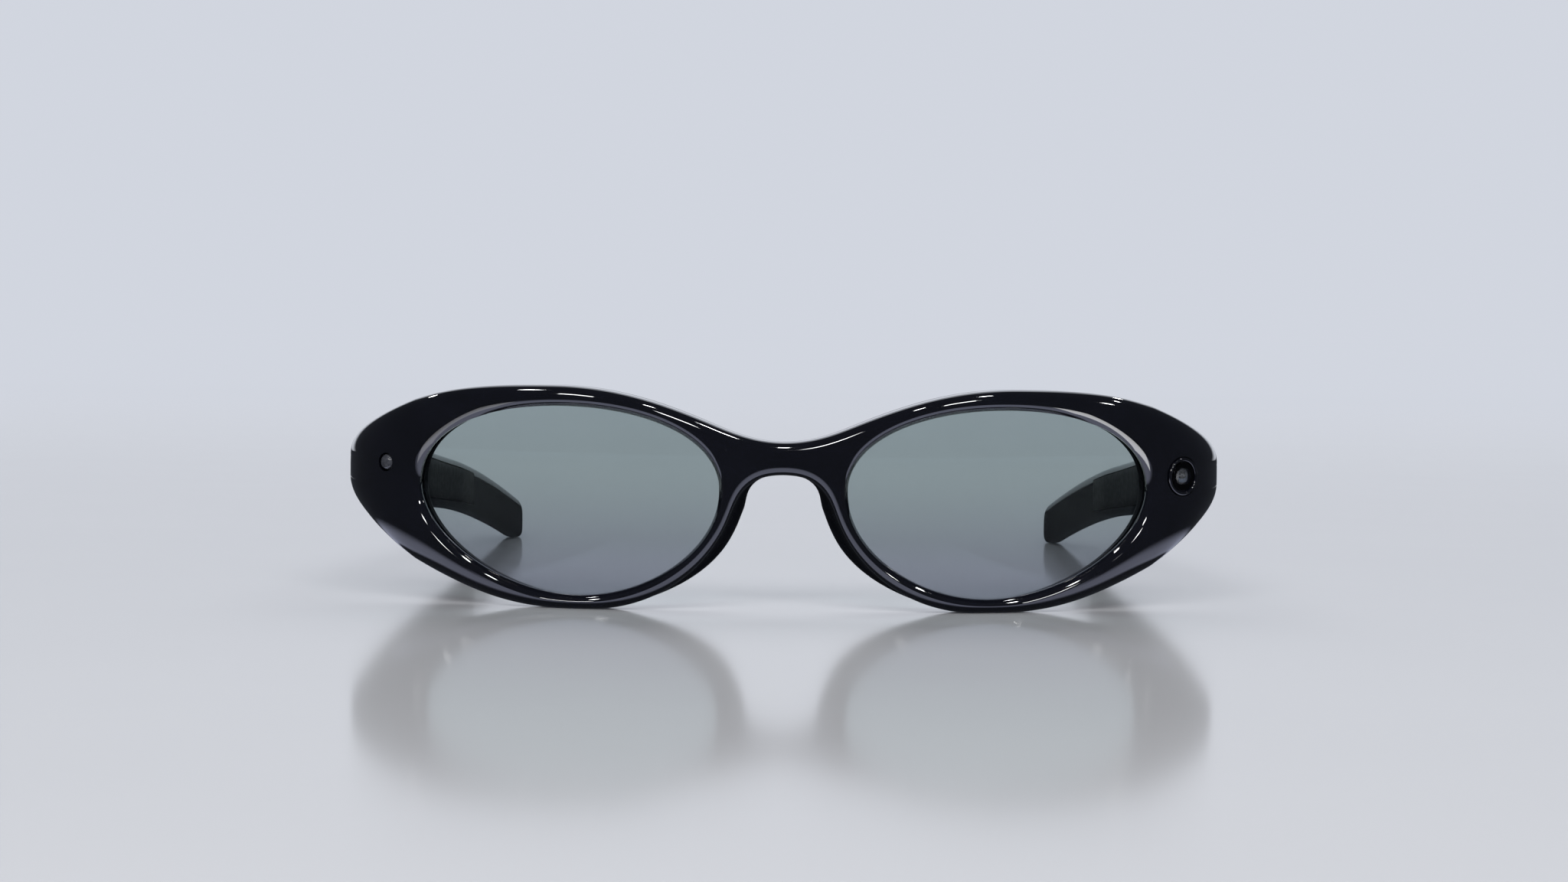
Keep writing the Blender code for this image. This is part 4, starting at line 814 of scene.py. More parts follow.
def rim_shell(parts, first_outer, last_outer):
    """A whole shell: the columns on the wrap, without the outer ones at the bridge, and their mirror."""
    grid = np.concatenate(parts, 1)
    half = crowned(grid[..., 0], grid[..., 1], grid[..., 2])
    half[..., 0][np.abs(half[..., 0]) < ON_MIDDLE] = 0
    rows, count = half.shape[:2]
    column = np.arange(count)
    across = rim.middle | np.roll(rim.middle, -1)
    keep = ~(across[:, None] & ((column >= first_outer) & (column < last_outer)))
    quads = grid_faces(rows, count, loop=True)[keep]
    both = np.concatenate([half.reshape(-1, 3), half.reshape(-1, 3) * (-1, 1, 1)])
    mesh = mesh_of(both, np.concatenate([quads, quads[:, ::-1] + rows * count]))
    return cut(mesh, *(joint_cutter(side) for side, _ in SIDES))


print("joint blocks:", round((1 - JOINT_CUT) * FRONT_WIDTH / mm, 1), "mm apart at the middle")

# %% [markdown]
# ## Front shell
#
# The front's section runs over lens seat, lip, funnel, face, rounded edge, wall and back. A bevel
# modifier could round a coarse rim, but its width is the same everywhere. Here the funnel widens
# towards the upper outer corner, and the edge grows fuller on the end pieces.

# %% Front shell
FUNNEL_DEPTH, LIP_DEPTH, FUNNEL_SOFT, FUNNEL_START = 1.3 * mm, 1.9 * mm, 0.08, 0.4
FUNNEL_STEPS, FACE_STEPS, ROUND_STEPS = 12, 14, 16
FUNNEL_CROWD, FACE_CROWD = 1.8, 1.6


def face_depth(points, inset):
    """Depth of the front: a funnel that starts softly and steepens inwards, and the rounded edge."""
    away = ((points - rim.hole[:, None]) * rim.hole_out[:, None]).sum(-1) / rim.funnel[:, None]
    inside = (1 - away + np.sqrt((1 - away) ** 2 + FUNNEL_SOFT**2)) / (1 + np.sqrt(1 + FUNNEL_SOFT**2))
    funnel = FUNNEL_DEPTH * (FUNNEL_START * inside + (1 - FUNNEL_START) * inside**2)
    short = np.clip(1 - inset / rim.round[:, None], 0, 1)
    return -funnel - rim.round_depth[:, None] * (1 - np.sqrt(1 - short**2))


def front_parts():
    """Columns of the front's section from the lens seat round to the back."""
    seat = rim.from_hole(np.array([LENS_OVERLAP + FIT]))
    hole = rim.from_hole(np.array([0.0]))
    split = -SHELL_SPLIT - PARTING
    crowd = np.linspace(1, 0, FUNNEL_STEPS, endpoint=False) ** FUNNEL_CROWD
    funnel = rim.from_hole(rim.funnel[:, None] * (1 - crowd))
    inner, outer = rim.from_hole(rim.funnel[:, None]), rim.from_edge(-rim.round[:, None])
    face = spread(inner, outer, np.linspace(0, 1, FACE_STEPS, endpoint=False) ** FACE_CROWD)
    inset = rim.round[:, None] * (1 - np.sin(np.linspace(0, math.pi / 2, ROUND_STEPS)))
    edge = rim.from_edge(-inset)
    far = rim.round[:, None]
    parts = [
        columns(seat, split), columns(seat, -LIP_DEPTH), columns(hole, -LIP_DEPTH),
        columns(funnel, face_depth(funnel, far)), columns(face, face_depth(face, far)),
    ]
    first_outer = sum(p.shape[1] for p in parts)
    parts += [columns(edge, face_depth(edge, inset)), columns(rim.edge[:, None], split)]
    last_outer = sum(p.shape[1] for p in parts) - 1
    parts.append(columns(spread(rim.edge[:, None], seat, QUARTERS), split))
    return parts, first_outer, last_outer


front_mesh = rim_shell(*front_parts())
print("front shell:", len(front_mesh.polygons), "faces")

# %% [markdown]
# ## Rear shell
#
# Behind the front sits a second shell that holds the lenses in. Its back edge is rounded off, and on
# the nose side it swells into two moulded pads. The pads are part of the same surface: a share that
# rises and falls along the rim widens the wall outwards and lifts the back.

# %% Rear shell
REAR_OPENING, BACK_ROUND, INNER_ROUND = 0.3 * mm, 1.0 * mm, 0.5 * mm
PAD_HEIGHT, PAD_FLARE, PAD_ROUND, PAD_FALL = 5.0 * mm, 1.5 * mm, 1.3 * mm, 1.5
PAD_START, PAD_END = (-0.75, -0.25), (-0.07, 0.14)
SIDE_STEPS, BACK_STEPS, CORNER_STEPS = 10, 14, 8


def pad_share():
    """1 in the middle of the moulded nose pad, and 0 away from it."""
    along = (rim.stations + 2) % 4 - 2
    return smooth(along, *PAD_START) * (1 - smooth(along, *PAD_END)) * ~rim.middle


def rear_parts():
    """Columns of the rear shell's section: front plane, outer wall, rounded corner, back and lens side."""
    pad = pad_share()[:, None]
    front = -SHELL_SPLIT - 3 * PARTING
    deep = depth_at(rim.edge[:, :1])
    flare, rise = PAD_FLARE * pad, PAD_HEIGHT * pad
    rounded = BACK_ROUND + (PAD_ROUND - BACK_ROUND) * pad
    hole = rim.from_hole(np.array([REAR_OPENING]))
    back_in = rim.from_hole(np.array([REAR_OPENING + INNER_ROUND]))
    t = np.linspace(0, 1, SIDE_STEPS)
    wall = rim.from_edge(flare * smooth(t, 0, 1))
    wall_n = front + (rounded - deep - rise - front) * t
    turn = np.linspace(0, math.pi / 2, CORNER_STEPS)[1:]
    corner = rim.from_edge(flare - rounded * (1 - np.cos(turn)))
    corner_n = rounded - deep - rise - rounded * np.sin(turn)
    shares = np.linspace(0, 1, BACK_STEPS)[1:]
    back = spread(corner[:, -1:], back_in, shares)
    back_n = -depth_at(back[..., 0]) - rise * (1 - shares) ** PAD_FALL
    lens_side = REAR_OPENING + INNER_ROUND * (1 - np.sin(turn)) * np.ones((len(rim.edge), 1))
    lens_n = -depth_at(back_in[..., 0]) + INNER_ROUND * (1 - np.cos(turn))
    parts = [columns(spread(hole, rim.edge[:, None], (0, *QUARTERS)), front)]
    first_outer = parts[0].shape[1]
    parts += [columns(wall, wall_n), columns(corner, corner_n)]
    last_outer = sum(p.shape[1] for p in parts) - 1
    parts += [columns(back, back_n), columns(rim.from_hole(lens_side), lens_n)]
    return parts, first_outer, last_outer


rear_mesh = rim_shell(*rear_parts())
print("rear shell:", len(rear_mesh.polygons), "faces")

# %% [markdown]
# ## Places in the corners
#
# The camera looks straight ahead through a window that lies in the slanted corner of the front. So
# its ring and window are turned about the corner's normal, and its barrel about the view direction.
# The recording light has its place in the other corner. Each place is a frame, whose Z points out of
# the front, and bores along these axes are cut into the front shell.

# %% Places and bores
CAMERA_ALONG, CAMERA_TILT, CAMERA_HEIGHT = 0.295, math.radians(36), 22.7 * mm
LIGHT_ALONG, LIGHT_HEIGHT, LIGHT_RADIUS = 0.28, 23.7 * mm, 1.35 * mm
BEZEL_RADIUS, BEZEL_DEPTH = 3.2 * mm, 1.5 * mm
BARREL_RADIUS, BARREL_LENGTH = 1.5 * mm, 1.8 * mm
BORE_TOP = 4 * mm


def axes(origin, along, across, up):
    """A frame from its origin and its X, Y and Z directions."""
    made = Matrix.Identity(4)
    for column, direction in enumerate((along, across, up)):
        made.col[column][:3] = Vector(direction).normalized()
    made.translation = origin
    return made


def corner_frame(along, height, side, tilt=0.0):
    """Frame on the corner's face: Y points up, and Z out of the face, turned forwards by tilt."""
    u = LENS_OUT + along * (BUTT_START - LENS_OUT)
    centre = crowned(u, height, 0.0, side)
    angle = float(plan(u)[2]) - tilt
    out = (side * math.sin(angle), -math.cos(angle), 0)
    return axes(centre, Vector((0, 0, 1)).cross(Vector(out)), (0, 0, 1), out)


face = corner_frame(CAMERA_ALONG, CAMERA_HEIGHT, 1)
ahead = corner_frame(CAMERA_ALONG, CAMERA_HEIGHT, 1, CAMERA_TILT)
light_place = corner_frame(LIGHT_ALONG, LIGHT_HEIGHT, -1)
slant = BARREL_RADIUS * math.sin(CAMERA_TILT)
barrel_front = -(slant + BEZEL_DEPTH) / math.cos(CAMERA_TILT) - 2 * FIT
barrel_back = barrel_front - BARREL_LENGTH
front_mesh = cut(
    front_mesh,
    rod_mesh(BEZEL_RADIUS + FIT, -BEZEL_DEPTH - FIT, BORE_TOP, face),
    rod_mesh(BARREL_RADIUS + FIT, barrel_back - FIT, -BEZEL_DEPTH, ahead),
    rod_mesh(LIGHT_RADIUS + FIT, -2 * SHELL_SPLIT, BORE_TOP, light_place),
)
print("front shell with bores:", len(front_mesh.polygons), "faces")

# %% [markdown]
# ## Camera ring and cover glass
#
# The ring is polished, with a rounded crest that catches small lights, and a rebate inside it holds
# the cover glass. Both could be cylinders with bevels, but a turned profile gives each edge its own
# round. The glass is black but for a clear zone before the lens: a mark in its colour, measured from
# the barrel's axis.

# %% Camera ring and glass
BEZEL_PROUD, BEZEL_EDGE, BEZEL_FLOOR, BEZEL_LIP = 0.2 * mm, 0.3 * mm, 0.5 * mm, 0.4 * mm
WINDOW_RADIUS, WINDOW_EDGE = 2.4 * mm, 0.1 * mm
CLEAR_ZONE = 1.35 * mm, 1.45 * mm
CREST_STEPS = 17


def quarter(radius, height, size, start, steps=6):
    """Points of a quarter circle of this size about a profile point, from an angle in degrees."""
    a = np.radians(np.linspace(start, start - 90, steps))
    return list(zip(radius + size * np.cos(a), height + size * np.sin(a)))


def print_mask(f):
    """1 outside the clear zone round the camera's axis."""
    return f.rise(f.from_axis(ahead), *CLEAR_ZONE)


ledge = BEZEL_DEPTH - BEZEL_FLOOR
rebate, aperture = WINDOW_RADIUS + FIT, WINDOW_RADIUS - BEZEL_LIP
crest = (BEZEL_RADIUS + rebate) / 2
turn = np.radians(np.linspace(180, 0, CREST_STEPS))
bezel = [
    (rebate, -ledge), (rebate, BEZEL_PROUD - BEZEL_EDGE),
    *zip(crest + (BEZEL_RADIUS - crest) * np.cos(turn), BEZEL_PROUD + BEZEL_EDGE * (np.sin(turn) - 1)),
    (BEZEL_RADIUS, -BEZEL_DEPTH), (aperture, -BEZEL_DEPTH), (aperture, -ledge), (rebate, -ledge),
]
make_piece("camera_ring", turned_mesh(bezel, face), "front", "gloss_black", "camera_bezel")
window = [
    (0, 0), *quarter(WINDOW_RADIUS - WINDOW_EDGE, -WINDOW_EDGE, WINDOW_EDGE, 90),
    (WINDOW_RADIUS, FIT - ledge), (0, FIT - ledge),
]
FINISH["camera_window"] = see_through("camera_window", CLEAR, print_mask, INK_AND_PUPIL_SHADE)
glass = turned_mesh(window, face)
make_piece("camera_cover_glass", glass, "front", "camera_window", "camera_window")

# %% [markdown]
# ## Camera lens
#
# Under the glass sit a black ring, a dished iris round a pupil, and a domed lens over it. The pupil
# is painted black, as the shade of the lens's dark inside. They could be a picture on a disc, but the
# dome's own highlight and the depth of the dish tell the eye that this is a lens. All three are turned
# about the view direction.

# %% Camera lens
EYE, EYE_EDGE = 0.78 * BARREL_RADIUS, 0.06 * mm
IRIS_SUNK, IRIS_DEPTH, DOME_RISE = 0.15 * mm, 0.35 * mm, 0.4 * mm
IRIS_COLOURS = (0.10, 0.125, 0.165), (0.14, 0.17, 0.22)
PUPIL_EDGE = 0.42 * mm, 0.56 * mm
DOME_STEPS = 16


def dome(radius, low, rise):
    """Profile of a half ellipse from its crest down to this height."""
    turn = np.linspace(0, math.pi / 2, DOME_STEPS)
    return list(zip(radius * np.sin(turn), low + rise * np.cos(turn)))


barrel = [
    (EYE, barrel_back), (EYE, barrel_front), (EYE + EYE_EDGE, barrel_front + EYE_EDGE),
    (BARREL_RADIUS - EYE_EDGE, barrel_front + EYE_EDGE), (BARREL_RADIUS, barrel_front),
    (BARREL_RADIUS, barrel_back), (EYE, barrel_back),
]
iris_front, iris_radius = barrel_front - IRIS_SUNK, EYE - EYE_EDGE
iris = [
    (0, iris_front - IRIS_DEPTH), (PUPIL_EDGE[0], iris_front - IRIS_DEPTH), (iris_radius, iris_front),
    (iris_radius, barrel_back), (0, barrel_back),
]
lens_low = iris_front + EYE_EDGE
lens = [*dome(iris_radius, lens_low, DOME_RISE), (0, lens_low)]
# The iris's pupil is painted shade: black within the first radius round the view axis.
FINISH["camera_iris"] = coated("camera_iris", *IRIS_COLOURS, ahead, PUPIL_EDGE)
for name, profile, finish in (
    ("camera_lens_ring", barrel, "satin_black"), ("camera_iris", iris, "camera_iris"),
    ("camera_lens", lens, "camera_glass"),
):
    make_piece(name, turned_mesh(profile, ahead), "front", finish, "camera_barrel")

# %% [markdown]
# ## Recording light
#
# A frosted pipe carries the recording light from its board to the face. It ends in a dome, whose foot
# lies in the bore and whose crest stands a little proud of the face. A glowing material would show
# it lit. A coated grey one shows it off.

# %% Recording light
LIGHT_RISE, LIGHT_SUNK = 0.9 * mm, 0.6 * mm
foot = FIT - SHELL_SPLIT
pipe = [*dome(LIGHT_RADIUS, -LIGHT_SUNK, LIGHT_RISE), (LIGHT_RADIUS, foot), (0, foot)]
make_piece("recording_light", turned_mesh(pipe, light_place), "front", "light_pipe", "light_pipe")

# %% [markdown]
# ## Brow ribbon and charging pins
#
# A flexible circuit joins the two end pieces over the lenses, in a channel between the shells. It
# hardly shows, but it is a real piece: a flat section carried along the outline, a little inside it.
# Behind the bridge two gold pins, turned from a profile, wait for the charging case.

# %% Ribbon and pins
RIBBON_INSET, RIBBON_WIDTH, RIBBON_THICKNESS, RIBBON_DROP = 1.1 * mm, 0.8 * mm, 0.25 * mm, 1.5 * mm
RIBBON_REACH, RIBBON_RISE, RIBBON_PAST, RIBBON_STEPS = 3.4 * mm, 3.2 * mm, 2 * mm, 12
PIN_SPACING, PIN_RADIUS, PIN_PROUD = 5.2 * mm, 0.85 * mm, 0.15 * mm
PIN_EDGE, PIN_DISH, PIN_STEPS = 0.12 * mm, 0.08 * mm, 48


def brow_line():
    """Points along the brow, a little inside the outline, and a cubic down into the end piece."""
    above = rim.edge[:, 1] > BRIDGE_UNDERSIDE + 0.99 * BRIDGE_HEIGHT
    over = above & (rim.edge[:, 0] < LENS_OUT + RIBBON_PAST) & (rim.out[:, 1] > 0)
    line = (rim.edge - RIBBON_INSET * rim.out)[over]
    reach = CAMERA_ALONG * (BUTT_START - LENS_OUT) + RIBBON_REACH
    end = np.array((LENS_OUT + reach, CAMERA_HEIGHT + RIBBON_RISE))
    knee = np.array((end[0], line[-1, 1] - RIBBON_DROP))
    t = np.linspace(0, 1, RIBBON_STEPS)[1:, None]
    return np.concatenate([line, cubic(line[-1], knee, knee, end, t)])


def ribbon_mesh(half_width, low, high):
    """A flat strip over both brows: the line pushed half a width to either side, at two depths."""
    line = brow_line()
    run = np.gradient(line, axis=0)
    across = np.stack([-run[:, 1], run[:, 0]], -1) / np.linalg.norm(run, axis=1)[:, None]
    across[0] = 0, 1
    flat = line[:, None] + across[:, None] * half_width * np.array((1, -1, -1, 1))[None, :, None]
    half = crowned(flat[..., 0], flat[..., 1], np.array((high, high, low, low)))
    return tube_mesh(np.concatenate([half[::-1] * (-1, 1, 1), half[1:]]))


def pin_frame(side):
    """Frame of a charging pin behind the bridge, with Z pointing back."""
    centre = crowned(PIN_SPACING / 2, BRIDGE_UNDERSIDE + BRIDGE_HEIGHT / 2, 0.0, side)
    return axes(centre, (-1, 0, 0), (0, 0, 1), (0, 1, 0))


def pin_bore(side):
    """The hole for a charging pin in the rear shell."""
    return rod_mesh(PIN_RADIUS + FIT, SHELL_SPLIT - FIT, 2 * RIM_DEPTH, pin_frame(side), PIN_STEPS)


ribbon_low = FIT - SHELL_SPLIT
ribbon_high = ribbon_low + RIBBON_THICKNESS
front_mesh = cut(front_mesh, ribbon_mesh(RIBBON_WIDTH / 2 + FIT, -2 * SHELL_SPLIT, ribbon_high + FIT))
make_piece("front_shell", front_mesh, "front", "gloss_black", "front_frame")
strip = ribbon_mesh(RIBBON_WIDTH / 2, ribbon_low, ribbon_high)
make_piece("brow_strip", strip, "front", "flex", "brow_ribbon")
foot, crest = SHELL_SPLIT + SEAM + FIT, RIM_DEPTH + PIN_PROUD
pin = [
    (0, crest - PIN_DISH), (0.45 * PIN_RADIUS, crest - 0.7 * PIN_DISH), (0.7 * PIN_RADIUS, crest),
    *quarter(PIN_RADIUS - PIN_EDGE, crest - PIN_EDGE, PIN_EDGE, 90), (PIN_RADIUS, foot), (0, foot),
]
for side, name in SIDES:
    contact = turned_mesh(pin, pin_frame(side), PIN_STEPS)
    make_piece(f"{name}_contact", contact, "front", "gold", f"{name}_charging_pin")
rear_mesh = cut(rear_mesh, *(pin_bore(side) for side, _ in SIDES))

# %% [markdown]
# ## Lenses
#
# Each lens is a thin crowned shell that runs 0.6 mm under the lip. Its grid is polar: rings that
# shrink from the edge to the middle, first over the front and then back over the rear face. It
# follows the same wrap as the frame, so its reflections bend as the real lens bends them.

# %% Lenses
LENS_RINGS, LENS_SPOKES = 24, 240


def lens_mesh(side):
    """Polar grid of a lens: centre + share (edge - centre), shares 0 to 1 in front and back to 0 behind."""
    around = np.linspace(0, 4, LENS_SPOKES, endpoint=False)
    edge = opening(around) + opening_out(around) * LENS_OVERLAP
    centre = edge.mean(0)
    share = np.sin(np.linspace(0, math.pi / 2, LENS_RINGS))
    share = np.concatenate([share, share[::-1]])[:, None, None]
    front = -(LIP_DEPTH + SHELL_SPLIT - LENS_THICKNESS) / 2
    n = front - LENS_THICKNESS * (np.arange(2 * LENS_RINGS) >= LENS_RINGS)[:, None]
    flat = centre + (edge - centre) * share
    return mesh_of(crowned(flat[..., 0], flat[..., 1], n, side), grid_faces(2 * LENS_RINGS, LENS_SPOKES))


for side, name in SIDES:
    make_piece(f"{name}_tinted_lens", lens_mesh(side), "front", "lens_tint", f"{name}_lens")

# %% [markdown]
# ## Temples
#
# A temple is one section carried along the bowed plan curve. The section is a superellipse, fuller
# on the inner side, and it shrinks towards a rounded tip that lies on the table. How far the tip has
# to droop for that isn't known beforehand, so a few rounds of measuring the lowest point find it.

# %% Temple form
TEMPLE_LENGTH, TIP_HALF, TIP_DEPTH, TIP_ROUND = 134 * mm, 4.0 * mm, 4.6 * mm, 6.0 * mm
OUTER_FULLNESS, INNER_FULLNESS = 2.6, 4.5
TEMPLE_SLOPE, EAR_START = 0.105, 75 * mm
RINGS, TIP_RINGS, TIP_TURN, AROUND = 160, 20, 87, 80
DROOP_ROUNDS = 12


def temple_half(s):
    """Half the temple's height at distance s behind the joint, which tapers evenly."""
    return ROOT_HALF + (TIP_HALF - ROOT_HALF) * s / TEMPLE_LENGTH


def temple_depth(s):
    """The temple's depth from outer to inner face, which tapers evenly."""
    return END_DEPTH + (TIP_DEPTH - END_DEPTH) * s / TEMPLE_LENGTH


def temple_height(s, droop):
    """Height of the temple's middle: a straight fall, and a growing droop behind the ear."""
    ear = np.clip((s - EAR_START) / (TEMPLE_LENGTH - EAR_START), 0, None)
    return ROOT_HEIGHT - TEMPLE_SLOPE * s - droop * ear**2


def signed_power(value, power):
    """A power of the size of a value, with the value's sign."""
    return np.sign(value) * np.abs(value) ** power


def temple_rings(droop, side):
    """Rings of the temple: signed powers of sine and cosine give height and depth, shrunk at the tip."""
    turn = np.radians(np.linspace(0, TIP_TURN, TIP_RINGS))
    straight = np.linspace(0, TEMPLE_LENGTH - TIP_ROUND, RINGS)[:-1]
    s = np.concatenate([straight, TEMPLE_LENGTH - TIP_ROUND + TIP_ROUND * np.sin(turn)])[:, None]
    shrink = np.concatenate([np.ones(len(straight)), np.cos(turn)])[:, None]
    a = np.linspace(0, 2 * math.pi, AROUND, endpoint=False)[None, :]
    power = np.where(np.cos(a) > 0, 2 / OUTER_FULLNESS, 2 / INNER_FULLNESS)
    z = temple_height(s, droop) + shrink * temple_half(s) * signed_power(np.sin(a), power)
    n = temple_depth(s) / 2 * (shrink * signed_power(np.cos(a), power) - 1)
    rings = wrap(BUTT_START + s, z, n, side)
    rings[0, :, 1] = BUTT_Y + BUTT_GAP
    return rings


DROOP = 0.0
for _ in range(DROOP_ROUNDS):
    DROOP += temple_rings(DROOP, 1)[..., 2].min()
print("droop:", round(DROOP / mm, 3), "mm")

# %% [markdown]
# ## Room inside a temple
#
# A temple holds a speaker, and a battery or a board, in a bay that opens on its inner face. A satin
# cover is let into a rebate over it, so the two materials meet in a fine groove. Bay and cover follow
# the temple's bowed and sloping line, and fittings take a frame at their distance along it.

# %% Temple bay and cover
SHELL_WALL, COVER_LEDGE, COVER_THICKNESS = 1.4 * mm, 0.5 * mm, 1.2 * mm
BAY_START, BAY_END, BAY_PAST, BAY_STEPS = 6 * mm, 90 * mm, 2 * mm, 60
REBATE_ENDS = BAY_START - 1 * mm, BAY_END + 1 * mm
COVER_ROWS, COVER_COLUMNS = 120, 25


def bay_half(s):
    """Half the height of the bay, inside the wall and the cover's ledge."""
    return temple_half(s) - SHELL_WALL - COVER_LEDGE


def bay(ends, outer, margin, side):
    """A run of the temple from depth outer(s) out through its inner face, inside top and bottom."""
    s = np.linspace(*ends, BAY_STEPS)[:, None]
    z = temple_height(s, DROOP) + (temple_half(s) - margin) * np.array((1, -1, -1, 1))
    past = temple_depth(s) + BAY_PAST
    n = -np.concatenate([outer(s), outer(s), past, past], 1)
    return tube_mesh(wrap(BUTT_START + s, z, n, side))


def temple_frame(s, n, side, above=0.0):
    """Frame in the temple: X runs back along it, Y points to its outer face and Z up."""
    origin = Vector(wrap(BUTT_START + s, temple_height(s, DROOP) + above, n, side))
    heading = float(plan(BUTT_START + s)[2])
    fall = (temple_height(s + mm, DROOP) - temple_height(s - mm, DROOP)) / (2 * mm)
    along = Vector((side * math.cos(heading), math.sin(heading), fall)).normalized()
    out = Vector((side * math.sin(heading), -math.cos(heading), 0))
    return axes(origin, along, out, along.cross(out) * -side)


def cover_mesh(side):
    """Inner cover: its outer skin follows the temple's section, and its back is flat."""
    s = np.linspace(REBATE_ENDS[0] + FIT, REBATE_ENDS[1] - FIT, COVER_ROWS)[:, None]
    up = np.linspace(-1, 1, COVER_COLUMNS)[None, :]
    half, deep = temple_half(s), temple_depth(s)
    reach = half - SHELL_WALL - FIT
    skin = -deep / 2 * (1 + (1 - np.abs(up * reach / half) ** INNER_FULLNESS) ** (1 / INNER_FULLNESS))
    back = np.broadcast_to(COVER_THICKNESS - deep, (len(s), 2))
    z = temple_height(s, DROOP) + np.concatenate([up * reach, reach, -reach], 1)
    return tube_mesh(wrap(BUTT_START + s, z, np.concatenate([skin, back], 1), side))


print("bay:", round((BAY_END - BAY_START) / mm), "mm long")

# %% [markdown]
# ## Hinge leaves
#
# Steel leaves are let into the joint faces, and the folded glasses show them. Each has a plate and
# arms to every other knuckle, so that the two interlock round a screw. They are simple solids, so
# boxes and rods are joined by a Boolean, and the bore and the cable's slot are cut after that.

# %% Hinge leaves
KNUCKLE_RADIUS, KNUCKLE_COUNT, KNUCKLE_PITCH, KNUCKLE_PLAY = 1.5 * mm, 5, 1.8 * mm, 0.12 * mm
SCREW_RADIUS, SCREW_PLAY = 0.7 * mm, 0.1 * mm
LEAF_THICKNESS, LEAF_WIDTH, LEAF_SLOT, ARM_OVERLAP = 1.0 * mm, 3.2 * mm, 4 * mm, 0.5 * mm
CABLE_WIDTH, CABLE_THICKNESS, CABLE_ROOM = 3.0 * mm, 0.3 * mm, 4 * FIT
KNUCKLE_STEPS, BORE_STEPS = 64, 48
INNER_X = float(plan(BUTT_START)[0]) - END_DEPTH * math.sin(BUTT_ANGLE)
PIN = Vector((INNER_X - KNUCKLE_RADIUS - 2 * FIT, BUTT_Y + BUTT_GAP / 2, ROOT_HEIGHT))
CABLE_X = INNER_X + COVER_THICKNESS + 3 * FIT - PIN.x
HINGE_TALL = KNUCKLE_COUNT * KNUCKLE_PITCH
OWNERS = {"temple": 1, "front": -1}


def at_pin(side, x, y, z=ROOT_HEIGHT):
    """A frame at this distance outwards and back from the hinge's axis."""
    return Matrix.Translation((side * (PIN.x + x), PIN.y + y, z))


def leaf_mesh(side, owner):
    """Hinge leaf: a plate in the joint face, with arms to every other knuckle."""
    plate_in = KNUCKLE_RADIUS + FIT
    y = OWNERS[owner] * (BUTT_GAP / 2 + SEAM + LEAF_THICKNESS / 2)
    plate = (LEAF_WIDTH, LEAF_THICKNESS, HINGE_TALL)
    thick, arm = KNUCKLE_PITCH - KNUCKLE_PLAY, plate_in + ARM_OVERLAP
    added = []
    for i in range(0 if owner == "temple" else 1, KNUCKLE_COUNT, 2):
        z = ROOT_HEIGHT + KNUCKLE_PITCH * (i - (KNUCKLE_COUNT - 1) / 2)
        added.append(box_mesh((arm, LEAF_THICKNESS, thick), at_pin(side, arm / 2, y, z)))
        added.append(rod_mesh(KNUCKLE_RADIUS, -thick / 2, thick / 2, at_pin(side, 0, 0, z), KNUCKLE_STEPS))
    leaf = united(box_mesh(plate, at_pin(side, plate_in + LEAF_WIDTH / 2, y)), *added)
    bore = rod_mesh(SCREW_RADIUS + SCREW_PLAY, -HINGE_TALL, HINGE_TALL, at_pin(side, 0, 0), BORE_STEPS)
    slot = (CABLE_THICKNESS + CABLE_ROOM, LEAF_SLOT, CABLE_WIDTH + CABLE_ROOM)
    return cut(leaf, bore, box_mesh(slot, at_pin(side, CABLE_X, y)))


for side, name in SIDES:
    for owner, body in (("front", "front"), ("temple", f"{name}_temple")):
        leaf = leaf_mesh(side, owner)
        make_piece(f"{name}_{owner}_leaf", leaf, body, "steel", f"{name}_{owner}_hinge_leaf")

# %% [markdown]
# ## Screws and recesses
#
# The hinge turns on a screw with a slotted head underneath. A thread would never show, so a turned
# pin and one cut for the slot are enough. The joint faces get pockets for the leaves and a passage for
# the cable, and with these cut the rear shell is ready.

# %% Screws and recesses
SCREW_HEAD_RADIUS, SCREW_HEAD_HEIGHT, SCREW_EDGE = 1.3 * mm, 0.6 * mm, 0.15 * mm
HEAD_EDGE, HEAD_ROUND, SLOT_GAP, SLOT_DEEP = 0.1 * mm, 0.2 * mm, 0.4 * mm, 0.6 * SCREW_HEAD_HEIGHT
RECESS_PAST, PASSAGE_LENGTH, PASSAGE_SHIFT = 2 * mm, 14 * mm, 2 * mm


def screw_mesh(side):
    """Hinge screw: a pin with a slotted head underneath."""
    top = HINGE_TALL / 2
    low, head = -top - SEAM, -top - SEAM - SCREW_HEAD_HEIGHT
    place = at_pin(side, 0, 0)
    profile = [
        (0, top), (SCREW_RADIUS - SCREW_EDGE, top), (SCREW_RADIUS, top - SCREW_EDGE), (SCREW_RADIUS, low),
        *quarter(SCREW_HEAD_RADIUS - HEAD_EDGE, low - HEAD_EDGE, HEAD_EDGE, 90),
        *quarter(SCREW_HEAD_RADIUS - HEAD_ROUND, head + HEAD_ROUND, HEAD_ROUND, 0), (0, head),
    ]
    slot = (3 * SCREW_HEAD_RADIUS, SLOT_GAP, SLOT_DEEP)
    cutter = box_mesh(slot, place @ Matrix.Translation((0, 0, head)))
    return cut(turned_mesh(profile, place, KNUCKLE_STEPS), cutter)


def leaf_recess(side, owner):
    """The pocket for a leaf in its joint face, which reaches past the face into the gap."""
    deep = LEAF_THICKNESS + FIT + SEAM
    wide = 2 * KNUCKLE_RADIUS + 3 * FIT + LEAF_WIDTH
    y = OWNERS[owner] * (BUTT_GAP / 2 + deep / 2 - RECESS_PAST / 2)
    place = at_pin(side, wide / 2 - KNUCKLE_RADIUS - FIT, y)
    return box_mesh((wide, deep + RECESS_PAST, HINGE_TALL + 2 * FIT), place)


